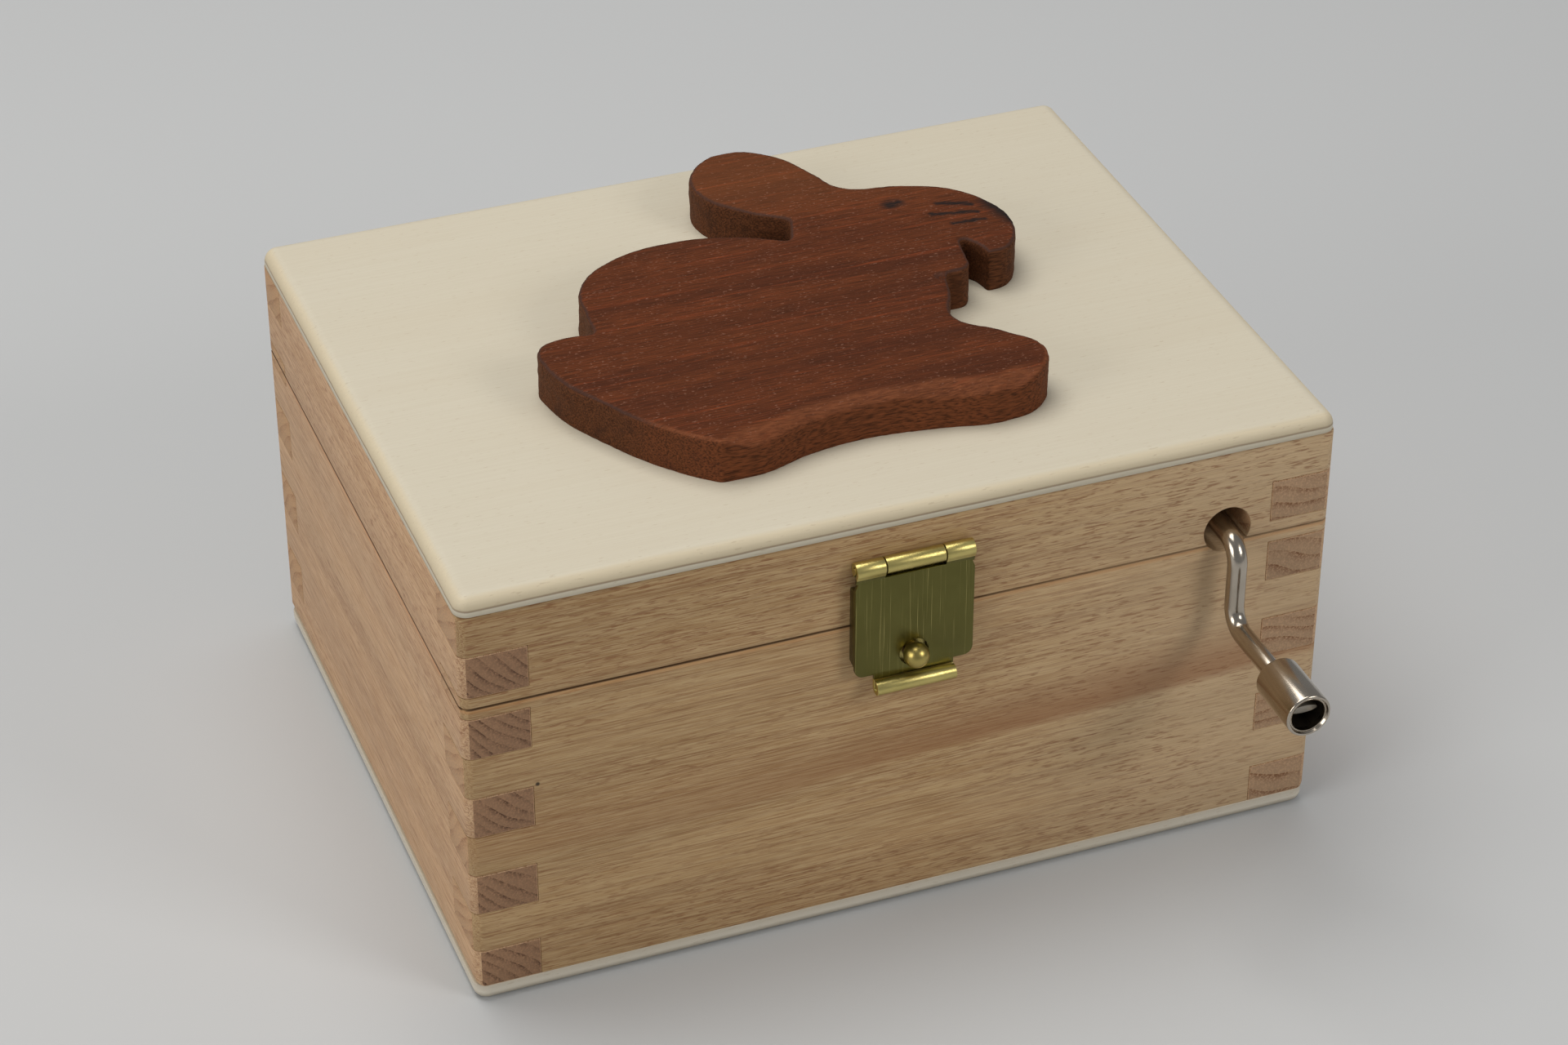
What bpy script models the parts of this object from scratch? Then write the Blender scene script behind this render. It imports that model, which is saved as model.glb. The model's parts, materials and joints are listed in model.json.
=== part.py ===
"""Hand-cranked music box: a finger-jointed beech box, a hinged plywood lid and an 18-note movement.

The helpers take millimetres and model in metres. X is right, Y is back, Z is up, and the origin is the
centre of the underside. Pieces that touch on the real box keep GAP between them.
"""

import math

import bmesh
import bpy
from mathutils import Matrix, Vector

MM = 0.001

# Box
BOX_W = 135.0
BOX_D = 104.0
BOARD_T = 10.0
PLY_T = 3.0
WOOD_H = 66.0
SEAM_Z = 53.4
CORNER_R = 2.1
LID_EDGE_R = 2.5
BOTTOM_EDGE_R = 1.8
FINGER_H = 7.0
FINGER_PITCH = 14.0
FIRST_FINGER_Z = 2.6
SAW_KERF = 3.3
GAP = 0.3

# Rabbit
RABBIT_T = 7.0

# Crank, as one bent wire
WIRE_R = 1.5
SHAFT_X = 50.3
SHAFT_Z = 55.3
CRANK_THROW = 13.7
ARM_Y = -56.2
WIRE_BEND_R = 3.5
KNOB_R = 3.5
KNOB_L = 10.3
KNOB_BACK_Y = -70.7
CRANK_HOLE_R = 3.8
CRANK_HOLE_X = 50.5
CRANK_HOLE_Z = 55.6

# Hasp
HASP_X = -0.2
HASP_W = 18.4
HASP_KNUCKLE_R = 1.3
HASP_AXIS_Y = -53.5
HASP_AXIS_Z = 63.8
FLAP_FRONT_Y = -54.2
FLAP_BOTTOM_Z = 45.4
SHEET_T = 0.6
TAB_W = 12.4
CURL_R = 1.15
TAB_H = 1.6
PLATE_CHAMFER_X = 1.0
PLATE_CHAMFER_Z = 1.4
HASP_SLOT_H = 1.9
HASP_LEAF_W = 15.2
CATCH_Z = 47.6
CATCH_R = 1.95
CATCH_Y = -55.1
CATCH_STEM_R = 1.0
CATCH_STEM_IN_WOOD = 4.0

# Back hinges
HINGE_X = 40.0
HINGE_W = 20.0
HINGE_KNUCKLE_R = 1.4
LEAF_H = 8.0
PIN_R = 0.55

# Nails
NAIL_R = 0.55
NAIL_L = 7.0
NAIL_POINT = 1.2

# Movement, on the inner face of the right side board
BEDPLATE_T = 2.5
BEDPLATE_Y = (-38.0, 18.0)
BEDPLATE_Z = (20.0, 61.0)
POST_Y = (-36.5, -11.0)
POST_W = 3.5
POST_HALF_H = 3.3
MOVEMENT_SCREWS = ((-33.0, 25.0), (14.0, 25.0), (14.0, 46.0))
CYLINDER_Y = -22.0
CYLINDER_R = 6.5
CYLINDER_LOW_Z = 27.2
CYLINDER_L = 22.7
MUSIC_PIN_H = 0.8
NOTES = 18
NOTE_PITCH = 1.15
GEAR_TEETH = 20
GEAR_MODULE = 0.6
GEAR_W = 2.4
GEAR_TOOTH_OUT = 0.4
GEAR_TOOTH_IN = 0.7
WORM_PITCH_R = 3.2
WORM_L = 21.0
WORM_TURNS = 6
ARBOR_R = 0.9
ARBOR_Z = (22.0, 62.0)
PINS_PER_NOTE = 2
COMB_T = 1.0
COMB_BACK_Y = 10.0
COMB_ROOT_Y = (2.0, -6.0)
COMB_SLOT = 0.35
COMB_SCREW_Y = 6.4
BRACKET_T = 1.2
BRACKET_HALF_W = 4.0
BRACKET_LOW_Z = 23.2

# Worked out from those
TOP_Z = PLY_T + WOOD_H + PLY_T
HALF_W = BOX_W / 2
HALF_D = BOX_D / 2
INNER_X = HALF_W - BOARD_T
INNER_Y = HALF_D - BOARD_T
HINGE_AXIS_Y = HALF_D + GAP + HINGE_KNUCKLE_R
KNOB_Z = SHAFT_Z - CRANK_THROW
GEAR_PITCH_R = GEAR_MODULE * GEAR_TEETH / 2
WORM_TIP_R = WORM_PITCH_R + GEAR_TOOTH_OUT
WORM_LEAD = math.pi * GEAR_MODULE
CYLINDER_X = SHAFT_X - WORM_PITCH_R - GEAR_PITCH_R
PLATE_X = INNER_X - GAP - BEDPLATE_T
COMB_TIP_Y = CYLINDER_Y + CYLINDER_R + MUSIC_PIN_H + GAP

X_AXIS = Vector((1, 0, 0))
Y_AXIS = Vector((0, 1, 0))
Z_AXIS = Vector((0, 0, 1))

PARTS = None
CUTTERS = None
MATERIALS = {}

MATERIAL_LOOKS = {
    "beech": ((0.48, 0.33, 0.21), 0.6, 0.0),
    "plywood": ((0.68, 0.6, 0.45), 0.6, 0.0),
    "stained_wood": ((0.13, 0.045, 0.02), 0.6, 0.0),
    "brass": ((0.6, 0.52, 0.22), 0.3, 1.0),
    "nickel": ((0.75, 0.72, 0.68), 0.15, 1.0),
    "steel": ((0.55, 0.56, 0.58), 0.3, 1.0),
    "cast_zinc": ((0.45, 0.46, 0.47), 0.5, 1.0),
}


def clear_scene():
    for obj in list(bpy.data.objects):
        bpy.data.objects.remove(obj, do_unlink=True)


def make_collection(name):
    collection = bpy.data.collections.new(name)
    bpy.context.scene.collection.children.link(collection)
    return collection


def make_material(name):
    color, roughness, metallic = MATERIAL_LOOKS[name]
    material = bpy.data.materials.new(name)
    material.use_nodes = True
    shader = material.node_tree.nodes["Principled BSDF"]
    shader.inputs["Base Color"].default_value = (*color, 1.0)
    shader.inputs["Roughness"].default_value = roughness
    shader.inputs["Metallic"].default_value = metallic
    return material


def add_object(name, data, material=None):
    """Links data as a part when it has a material, and as a hidden cutter when it hasn't."""
    obj = bpy.data.objects.new(name, data)
    if material is None:
        CUTTERS.objects.link(obj)
        obj.hide_render = True
        obj.display_type = "WIRE"
        return obj
    PARTS.objects.link(obj)
    if material not in MATERIALS:
        MATERIALS[material] = make_material(material)
    data.materials.append(MATERIALS[material])
    return obj


def mesh_from(name, bm):
    bmesh.ops.recalc_face_normals(bm, faces=bm.faces)
    mesh = bpy.data.meshes.new(name)
    bm.to_mesh(mesh)
    bm.free()
    return mesh


def shade_round(mesh, angle=40):
    mesh.shade_smooth()
    mesh.set_sharp_from_angle(angle=math.radians(angle))


def box(name, low, high, material=None):
    low = Vector(low) * MM
    high = Vector(high) * MM
    size = high - low
    bm = bmesh.new()
    bmesh.ops.create_cube(bm, size=1.0)
    bmesh.ops.transform(bm, matrix=Matrix.Diagonal((*size, 1.0)), verts=bm.verts)
    bmesh.ops.translate(bm, vec=(low + high) / 2, verts=bm.verts)
    return add_object(name, mesh_from(name, bm), material)


def rod(name, start, end, radius, material=None, sides=16):
    """A solid round bar between two points."""
    start = Vector(start) * MM
    end = Vector(end) * MM
    along = end - start
    bm = bmesh.new()
    bmesh.ops.create_cone(
        bm,
        cap_ends=True,
        segments=sides,
        radius1=radius * MM,
        radius2=radius * MM,
        depth=along.length,
    )
    turn = Z_AXIS.rotation_difference(along.normalized()).to_matrix().to_4x4()
    bmesh.ops.transform(bm, matrix=Matrix.Translation((start + end) / 2) @ turn, verts=bm.verts)
    mesh = mesh_from(name, bm)
    shade_round(mesh)
    return add_object(name, mesh, material)


def turned(name, profile, place, direction, material=None, steps=16, closed=False):
    """A turned shape. The profile lists (radius, height) down its outer side; closed makes a ring of it."""
    mesh = bpy.data.meshes.new(name)
    points = [(radius * MM, 0.0, height * MM) for radius, height in profile]
    edges = [(i, i + 1) for i in range(len(points) - 1)]
    if closed:
        edges.append((len(points) - 1, 0))
    mesh.from_pydata(points, edges, [])
    obj = add_object(name, mesh, material)
    screw = obj.modifiers.new("turn", "SCREW")
    screw.steps = steps
    screw.render_steps = steps
    screw.use_merge_vertices = True
    screw.merge_threshold = 1e-5
    screw.use_smooth_shade = False
    obj.location = Vector(place) * MM
    obj.rotation_mode = "QUATERNION"
    obj.rotation_quaternion = Z_AXIS.rotation_difference(Vector(direction))
    return obj


def prism(name, outline, normal, low, high, material=None):
    """A flat outline with a thickness, from low to high along its normal.

    The outline's points are (y, z) for a normal of X, (x, z) for Y and (x, y) for Z.
    """
    curve = bpy.data.curves.new(name, "CURVE")
    curve.dimensions = "2D"
    curve.fill_mode = "NONE"
    curve.extrude = (high - low) / 2 * MM
    spline = curve.splines.new("POLY")
    spline.points.add(len(outline) - 1)
    for point, (u, v) in zip(spline.points, outline):
        point.co = (u * MM, v * MM, 0.0, 1.0)
    spline.use_cyclic_u = True
    frames = {
        "X": Matrix(((0, 0, 1, 0), (1, 0, 0, 0), (0, 1, 0, 0), (0, 0, 0, 1))),
        "Y": Matrix(((1, 0, 0, 0), (0, 0, -1, 0), (0, 1, 0, 0), (0, 0, 0, 1))),
        "Z": Matrix.Identity(4),
    }
    middle = (low + high) / 2 * MM
    shift = {"X": (middle, 0, 0), "Y": (0, middle, 0), "Z": (0, 0, middle)}[normal]
    mesh = welded_mesh(name, curve, Matrix.Translation(shift) @ frames[normal])
    return add_object(name, mesh, material)


def welded_mesh(name, curve, matrix):
    """The curve's mesh in world space, closed: each open end gets one flat face."""
    holder = bpy.data.objects.new(name + "_curve", curve)
    bpy.context.scene.collection.objects.link(holder)
    bpy.context.view_layer.update()
    graph = bpy.context.evaluated_depsgraph_get()
    mesh = bpy.data.meshes.new_from_object(holder.evaluated_get(graph))
    bpy.data.objects.remove(holder, do_unlink=True)
    bm = bmesh.new()
    bm.from_mesh(mesh)
    bpy.data.meshes.remove(mesh)
    bmesh.ops.remove_doubles(bm, verts=bm.verts, dist=1e-6)
    bmesh.ops.holes_fill(bm, edges=[e for e in bm.edges if e.is_boundary])
    bmesh.ops.transform(bm, matrix=matrix, verts=bm.verts)
    return mesh_from(name, bm)


def combine(obj, operation, others):
    for other in others:
        modifier = obj.modifiers.new(other.name, "BOOLEAN")
        modifier.operation = operation
        modifier.solver = "EXACT"
        modifier.object = other


def cut(obj, *others):
    combine(obj, "DIFFERENCE", others)


def join(obj, *others):
    combine(obj, "UNION", others)


def rounded_slab(name, low, high, material, corner_r, top_r=0.0, bottom_r=0.0):
    """A panel with round vertical corners and, where asked, a round top or bottom edge."""
    slab = box(name, low, high, material)
    bm = bmesh.new()
    bm.from_mesh(slab.data)
    upright = [e for e in bm.edges if abs((e.verts[0].co - e.verts[1].co).z) > 1e-6]
    bmesh.ops.bevel(
        bm, geom=upright, offset=corner_r * MM, segments=3, profile=0.5, affect="EDGES"
    )
    for radius, level in ((top_r, high[2]), (bottom_r, low[2])):
        if radius == 0.0:
            continue
        rim = [e for e in bm.edges if all(abs(v.co.z - level * MM) < 1e-7 for v in e.verts)]
        bmesh.ops.bevel(
            bm, geom=rim, offset=radius * MM, segments=3, profile=0.5, affect="EDGES"
        )
    bm.to_mesh(slab.data)
    bm.free()
    shade_round(slab.data)
    return slab


# ---------------------------------------------------------------- box


def side_fingers():
    """The heights, low and high, of the side boards' fingers: a regular comb with the saw cut taken out."""
    fingers = []
    for k in range(5):
        low = FIRST_FINGER_Z + k * FINGER_PITCH
        if low > SEAM_Z:
            low -= SAW_KERF
        fingers.append((low, low + FINGER_H))
    return fingers


def board_outline(half, low_z, high_z, notches):
    """A board seen flat on, with notches in both of its ends that take the next board's fingers."""
    depth = BOARD_T + GAP
    right = [(half, low_z)]
    for low, high in notches:
        low = max(low, low_z)
        high = min(high, high_z)
        if high <= low:
            continue
        if low == low_z:
            right.pop()
        else:
            right.append((half, low))
        right.append((half - depth, low))
        right.append((half - depth, high))
        if high < high_z:
            right.append((half, high))
    if right[-1][1] < high_z:
        right.append((half, high_z))
    left = [(-u, v) for u, v in reversed(right)]
    return right + left


def corner_cutter(x_sign, y_sign):
    """What a rounding bit takes off one upright edge of the box."""
    reach = 1.0
    steps = 4
    far_x = HALF_W + reach
    far_y = HALF_D + reach
    outline = [(far_x, far_y), (far_x, HALF_D - CORNER_R)]
    for i in range(steps + 1):
        angle = math.pi / 2 * i / steps
        outline.append(
            (
                HALF_W - CORNER_R + CORNER_R * math.cos(angle),
                HALF_D - CORNER_R + CORNER_R * math.sin(angle),
            )
        )
    outline.append((HALF_W - CORNER_R, far_y))
    outline = [(x_sign * x, y_sign * y) for x, y in outline]
    return prism(f"corner_cutter_{x_sign}_{y_sign}", outline, "Z", 0.0, TOP_Z)


def make_carcase(prefix, low_z, high_z, corners):
    """Four boards with finger joints, rounded at the box's upright edges."""
    fingers = side_fingers()
    slack = GAP / 2
    front_notches = [(low - slack, high + slack) for low, high in fingers]
    levels = [low_z] + [z for pair in fingers for z in pair if low_z < z < high_z] + [high_z]
    inside = any(low < low_z + 0.01 < high for low, high in fingers)
    side_notches = []
    for low, high in zip(levels, levels[1:]):
        if not inside:
            side_notches.append(
                (low if low == low_z else low - slack, high if high == high_z else high + slack)
            )
        inside = not inside
    long_outline = board_outline(HALF_W, low_z, high_z, front_notches)
    short_outline = board_outline(HALF_D, low_z, high_z, side_notches)
    boards = {
        "front": prism(prefix + "_front_board", long_outline, "Y", -HALF_D, -INNER_Y, "beech"),
        "back": prism(prefix + "_back_board", long_outline, "Y", INNER_Y, HALF_D, "beech"),
        "left": prism(
            prefix + "_left_board", short_outline, "X", -HALF_W, -INNER_X, "beech"
        ),
        "right": prism(prefix + "_right_board", short_outline, "X", INNER_X, HALF_W, "beech"),
    }
    for board in boards.values():
        cut(board, *corners)
    return boards


def make_box():
    corners = [corner_cutter(x_sign, y_sign) for x_sign in (-1, 1) for y_sign in (-1, 1)]
    base = make_carcase("base", PLY_T + GAP, SEAM_Z - GAP / 2, corners)
    lid = make_carcase("lid", SEAM_Z + GAP / 2, PLY_T + WOOD_H - GAP, corners)
    rounded_slab(
        "bottom_panel",
        (-HALF_W, -HALF_D, 0),
        (HALF_W, HALF_D, PLY_T),
        "plywood",
        CORNER_R,
        bottom_r=BOTTOM_EDGE_R,
    )
    rounded_slab(
        "lid_panel",
        (-HALF_W, -HALF_D, PLY_T + WOOD_H),
        (HALF_W, HALF_D, TOP_Z),
        "plywood",
        CORNER_R,
        top_r=LID_EDGE_R,
    )
    crank_hole = rod(
        "crank_hole",
        (CRANK_HOLE_X, -HALF_D - 1, CRANK_HOLE_Z),
        (CRANK_HOLE_X, -INNER_Y + 1, CRANK_HOLE_Z),
        CRANK_HOLE_R,
        sides=24,
    )
    cut(base["front"], crank_hole)
    cut(lid["front"], crank_hole)
    return base, lid


# ---------------------------------------------------------------- rabbit

CORNER = "VECTOR"
SMOOTH = "AUTO"
RABBIT_OUTLINE = (
    # tail and rump
    (-40.3, -9.0, SMOOTH),
    (-39.6, -3.6, SMOOTH),
    (-35.5, -2.0, SMOOTH),
    (-30.5, -2.6, CORNER),
    (-30.2, 2.5, SMOOTH),
    (-28.6, 10.6, SMOOTH),
    (-22.5, 16.4, SMOOTH),
    (-11.1, 18.8, SMOOTH),
    (-1.0, 16.7, SMOOTH),
    (6.3, 12.6, CORNER),
    # ear
    (8.4, 18.8, CORNER),
    (1.9, 24.2, SMOOTH),
    (-2.3, 32.2, SMOOTH),
    (0.2, 39.4, SMOOTH),
    (6.5, 42.3, SMOOTH),
    (13.3, 38.5, SMOOTH),
    (17.0, 31.2, SMOOTH),
    # head
    (19.7, 25.3, SMOOTH),
    (28.3, 22.7, SMOOTH),
    (35.2, 19.3, SMOOTH),
    (39.8, 12.5, SMOOTH),
    (40.6, 6.7, SMOOTH),
    (38.3, 1.6, SMOOTH),
    (34.6, -2.3, SMOOTH),
    (33.2, -1.6, SMOOTH),
    (32.6, 2.2, SMOOTH),
    (30.5, 4.9, CORNER),
    # chest
    (29.9, 0.4, SMOOTH),
    (28.5, -4.3, SMOOTH),
    (24.6, -4.8, CORNER),
    (23.4, -9.5, SMOOTH),
    # leg and foot
    (21.1, -17.2, SMOOTH),
    (26.0, -22.7, SMOOTH),
    (30.2, -29.0, SMOOTH),
    (28.0, -34.2, SMOOTH),
    (20.5, -36.5, SMOOTH),
    (11.3, -34.9, SMOOTH),
    (1.5, -33.7, SMOOTH),
    (-8.0, -34.5, SMOOTH),
    (-20.5, -37.1, SMOOTH),
    (-26.5, -34.7, SMOOTH),
    (-34.9, -23.1, SMOOTH),
)


def make_rabbit():
    """A flat figure sawn from board, facing right."""
    curve = bpy.data.curves.new("rabbit_figure", "CURVE")
    curve.dimensions = "2D"
    curve.fill_mode = "BOTH"
    curve.resolution_u = 4
    curve.extrude = (RABBIT_T - GAP) / 2 * MM
    spline = curve.splines.new("BEZIER")
    spline.bezier_points.add(len(RABBIT_OUTLINE) - 1)
    for point, (x, y, kind) in zip(spline.bezier_points, RABBIT_OUTLINE):
        point.co = (x * MM, y * MM, 0.0)
        point.handle_left_type = kind
        point.handle_right_type = kind
    spline.use_cyclic_u = True
    rabbit = add_object("rabbit_figure", curve, "stained_wood")
    rabbit.location.z = (TOP_Z + GAP + (RABBIT_T - GAP) / 2) * MM
    return rabbit


# ---------------------------------------------------------------- fasteners


def nail(name, head_at, direction):
    """A round-headed nail. direction points out of the head; head_at is under the head."""
    profile = (
        (0.0, 0.5),
        (0.8, 0.42),
        (1.2, 0.1),
        (1.2, 0.0),
        (NAIL_R, 0.0),
        (NAIL_R, -NAIL_L + NAIL_POINT),
        (0.0, -NAIL_L),
    )
    return turned(name, profile, head_at, direction, "brass", steps=12)


def screw(name, head_at, direction, length, head_r=2.0, shank_r=1.0):
    """A slotted pan-head screw. direction points out of the head; head_at is under the head."""
    head_h = 1.3
    slot_half_w = 0.3
    profile = (
        (0.0, head_h),
        (head_r * 0.7, head_h),
        (head_r, head_h * 0.6),
        (head_r, 0.0),
        (shank_r, 0.0),
        (shank_r, -length + 1.0),
        (0.0, -length),
    )
    obj = turned(name, profile, head_at, direction, "steel", steps=16)
    direction = Vector(direction)
    across = Y_AXIS if abs(direction.y) < 0.5 else X_AXIS
    other = direction.cross(across)
    slot_side = across * (head_r + 1) + other * slot_half_w
    corner_a = Vector(head_at) + direction * (head_h * 0.55) - slot_side
    corner_b = Vector(head_at) + direction * (2 * head_h) + slot_side
    low = [min(a, b) for a, b in zip(corner_a, corner_b)]
    high = [max(a, b) for a, b in zip(corner_a, corner_b)]
    cut(obj, box(name + "_slot", low, high))
    return obj


def fastener_hole(name, start, end, radius):
    return rod(name, start, end, radius, sides=12)


# ---------------------------------------------------------------- back hinges


def make_hinge(side, centre_x, base_board, lid_board, first_nail):
    """A surface-fixed butt hinge: the pin runs along X just behind the seam."""
    half = HINGE_W / 2
    knuckle = HINGE_W * 0.2
    plate_low_y = HALF_D + GAP
    plate_high_y = plate_low_y + SHEET_T
    clear_z = HINGE_KNUCKLE_R + 0.4
    leaves = {
        "base": (-1, ((-half, -knuckle), (knuckle, half)), base_board),
        "lid": (1, ((-knuckle + GAP, knuckle - GAP),), lid_board),
    }
    nail_number = first_nail
    for which, (sign, spans, board) in leaves.items():
        name = f"hinge_{side}_{which}_leaf"
        near = SEAM_Z + sign * clear_z
        far = SEAM_Z + sign * (clear_z + LEAF_H)
        leaf = box(
            name,
            (centre_x - half, plate_low_y, min(near, far)),
            (centre_x + half, plate_high_y, max(near, far)),
            "brass",
        )
        for number, (low, high) in enumerate(spans):
            tongue = box(
                f"{name}_tongue_{number}",
                (centre_x + low, plate_low_y, min(SEAM_Z, near + sign)),
                (centre_x + high, plate_high_y, max(SEAM_Z, near + sign)),
            )
            barrel = rod(
                f"{name}_barrel_{number}",
                (centre_x + low, HINGE_AXIS_Y, SEAM_Z),
                (centre_x + high, HINGE_AXIS_Y, SEAM_Z),
                HINGE_KNUCKLE_R,
            )
            join(leaf, tongue, barrel)
        bore = rod(
            name + "_bore",
            (centre_x - half - 1, HINGE_AXIS_Y, SEAM_Z),
            (centre_x + half + 1, HINGE_AXIS_Y, SEAM_Z),
            PIN_R + GAP,
            sides=12,
        )
        cut(leaf, bore)
        for offset in (-half * 0.6, half * 0.6):
            x = centre_x + offset
            z = SEAM_Z + sign * (clear_z + LEAF_H * 0.5)
            hole = fastener_hole(
                f"{name}_hole_{nail_number}",
                (x, plate_high_y + 2, z),
                (x, HALF_D - NAIL_L - 0.5, z),
                NAIL_R + GAP,
            )
            cut(leaf, hole)
            cut(board, hole)
            nail(f"hinge_nail_{nail_number}", (x, plate_high_y + GAP, z), Y_AXIS)
            nail_number += 1
    rod(
        f"hinge_{side}_pin",
        (centre_x - half, HINGE_AXIS_Y, SEAM_Z),
        (centre_x + half, HINGE_AXIS_Y, SEAM_Z),
        PIN_R,
        "brass",
        sides=12,
    )


# ---------------------------------------------------------------- hasp


def make_hasp(base_board, lid_board):
    left = HASP_X - HASP_W / 2
    right = HASP_X + HASP_W / 2
    knuckle = HASP_W * 0.25
    back_y = FLAP_FRONT_Y + SHEET_T
    sheet_near_y = -HALF_D - GAP
    sheet_far_y = sheet_near_y - SHEET_T
    inset = 0.06  # keeps joined faces from lying in one plane

    flap = prism(
        "hasp_flap",
        (
            (left + PLATE_CHAMFER_X, FLAP_BOTTOM_Z),
            (HASP_X - TAB_W / 2, FLAP_BOTTOM_Z),
            (HASP_X - TAB_W / 2, FLAP_BOTTOM_Z - TAB_H),
            (HASP_X + TAB_W / 2, FLAP_BOTTOM_Z - TAB_H),
            (HASP_X + TAB_W / 2, FLAP_BOTTOM_Z),
            (right - PLATE_CHAMFER_X, FLAP_BOTTOM_Z),
            (right, FLAP_BOTTOM_Z + PLATE_CHAMFER_Z),
            (right, HASP_AXIS_Z),
            (HASP_X + knuckle, HASP_AXIS_Z),
            (HASP_X + knuckle, HASP_AXIS_Z - HASP_SLOT_H),
            (HASP_X - knuckle, HASP_AXIS_Z - HASP_SLOT_H),
            (HASP_X - knuckle, HASP_AXIS_Z),
            (left, HASP_AXIS_Z),
            (left, FLAP_BOTTOM_Z + PLATE_CHAMFER_Z),
        ),
        "Y",
        FLAP_FRONT_Y,
        back_y,
        "brass",
    )
    for end, x in ((-1, left - inset), (1, right + inset - SHEET_T)):
        flange = box(
            f"hasp_flange_{end}",
            (x, FLAP_FRONT_Y + 0.1, FLAP_BOTTOM_Z + PLATE_CHAMFER_Z + 0.1),
            (x + SHEET_T, -HALF_D - 0.5, HASP_AXIS_Z - HASP_SLOT_H - 0.1),
        )
        join(flap, flange)
    for end, low, high in ((-1, left, HASP_X - knuckle), (1, HASP_X + knuckle, right)):
        barrel = rod(
            f"hasp_barrel_{end}",
            (low + inset, HASP_AXIS_Y, HASP_AXIS_Z),
            (high - inset, HASP_AXIS_Y, HASP_AXIS_Z),
            HASP_KNUCKLE_R,
        )
        join(flap, barrel)
    curl_y = FLAP_FRONT_Y + SHEET_T - CURL_R
    curl_z = FLAP_BOTTOM_Z - TAB_H - CURL_R * 0.6
    curl = rod(
        "hasp_curl",
        (HASP_X - TAB_W / 2 + inset, curl_y, curl_z),
        (HASP_X + TAB_W / 2 - inset, curl_y, curl_z),
        CURL_R,
    )
    join(flap, curl)
    curl_bore = rod(
        "hasp_curl_bore",
        (HASP_X - TAB_W, curl_y, curl_z),
        (HASP_X + TAB_W, curl_y, curl_z),
        CURL_R - SHEET_T + 0.05,
        sides=12,
    )
    pin_bore = rod(
        "hasp_pin_bore",
        (left - 1, HASP_AXIS_Y, HASP_AXIS_Z),
        (right + 1, HASP_AXIS_Y, HASP_AXIS_Z),
        PIN_R + GAP,
        sides=12,
    )
    catch_hole = rod(
        "hasp_catch_hole",
        (HASP_X, FLAP_FRONT_Y - 3, CATCH_Z),
        (HASP_X, back_y + 3, CATCH_Z),
        CATCH_R + GAP,
        sides=24,
    )
    cut(flap, curl_bore, pin_bore, catch_hole)

    leaf = box(
        "hasp_lid_leaf",
        (HASP_X - HASP_LEAF_W / 2, sheet_far_y, SEAM_Z + 1.0),
        (HASP_X + HASP_LEAF_W / 2, sheet_near_y, HASP_AXIS_Z - HASP_SLOT_H),
        "brass",
    )
    leaf_tongue = box(
        "hasp_leaf_tongue",
        (HASP_X - knuckle + GAP, sheet_far_y, HASP_AXIS_Z - 3),
        (HASP_X + knuckle - GAP, sheet_near_y, HASP_AXIS_Z),
    )
    leaf_barrel = rod(
        "hasp_leaf_barrel",
        (HASP_X - knuckle + GAP, HASP_AXIS_Y, HASP_AXIS_Z),
        (HASP_X + knuckle - GAP, HASP_AXIS_Y, HASP_AXIS_Z),
        HASP_KNUCKLE_R - 0.1,
    )
    join(leaf, leaf_tongue, leaf_barrel)
    cut(leaf, pin_bore)
    rod(
        "hasp_pin",
        (left, HASP_AXIS_Y, HASP_AXIS_Z),
        (right, HASP_AXIS_Y, HASP_AXIS_Z),
        PIN_R,
        "brass",
        sides=12,
    )

    plate = box(
        "catch_plate",
        (HASP_X - HASP_LEAF_W / 2, sheet_far_y, CATCH_Z - 3.2),
        (HASP_X + HASP_LEAF_W / 2, sheet_near_y, SEAM_Z - 1.0),
        "brass",
    )
    catch_bore = fastener_hole(
        "catch_bore",
        (HASP_X, sheet_far_y - 1, CATCH_Z),
        (HASP_X, -HALF_D + CATCH_STEM_IN_WOOD + 0.5, CATCH_Z),
        CATCH_STEM_R + GAP,
    )
    cut(plate, catch_bore)
    cut(base_board, catch_bore)
    steps = 8
    start = math.asin(CATCH_STEM_R / CATCH_R)
    ball = [
        (CATCH_R * math.sin(a), CATCH_R * math.cos(a))
        for a in (i * (math.pi - start) / steps for i in range(steps + 1))
    ]
    ball[0] = (0.0, CATCH_R)
    stem_end = CATCH_Y + HALF_D - CATCH_STEM_IN_WOOD
    stem = [(CATCH_STEM_R, stem_end), (0.0, stem_end)]
    turned(
        "catch_knob",
        ball + stem,
        (HASP_X, CATCH_Y, CATCH_Z),
        -Y_AXIS,
        "brass",
        steps=16,
    )

    for family, board, plate_piece, z in (
        ("hasp_nail", lid_board, leaf, SEAM_Z + 4.0),
        ("catch_nail", base_board, plate, SEAM_Z - 3.0),
    ):
        for number, offset in ((1, -5.0), (2, 5.0)):
            x = HASP_X + offset
            hole = fastener_hole(
                f"{family}_hole_{number}",
                (x, sheet_far_y - 1, z),
                (x, -HALF_D + NAIL_L + 0.5, z),
                NAIL_R + GAP,
            )
            cut(plate_piece, hole)
            cut(board, hole)
            flush_nail(f"{family}_{number}", (x, sheet_far_y, z))


def flush_nail(name, face_at):
    """A headless nail, level with the sheet's face because the flap closes over it."""
    profile = ((0.0, 0.0), (NAIL_R, 0.0), (NAIL_R, -NAIL_L + NAIL_POINT), (0.0, -NAIL_L))
    return turned(name, profile, face_at, -Y_AXIS, "brass", steps=12)


# ---------------------------------------------------------------- crank


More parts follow.
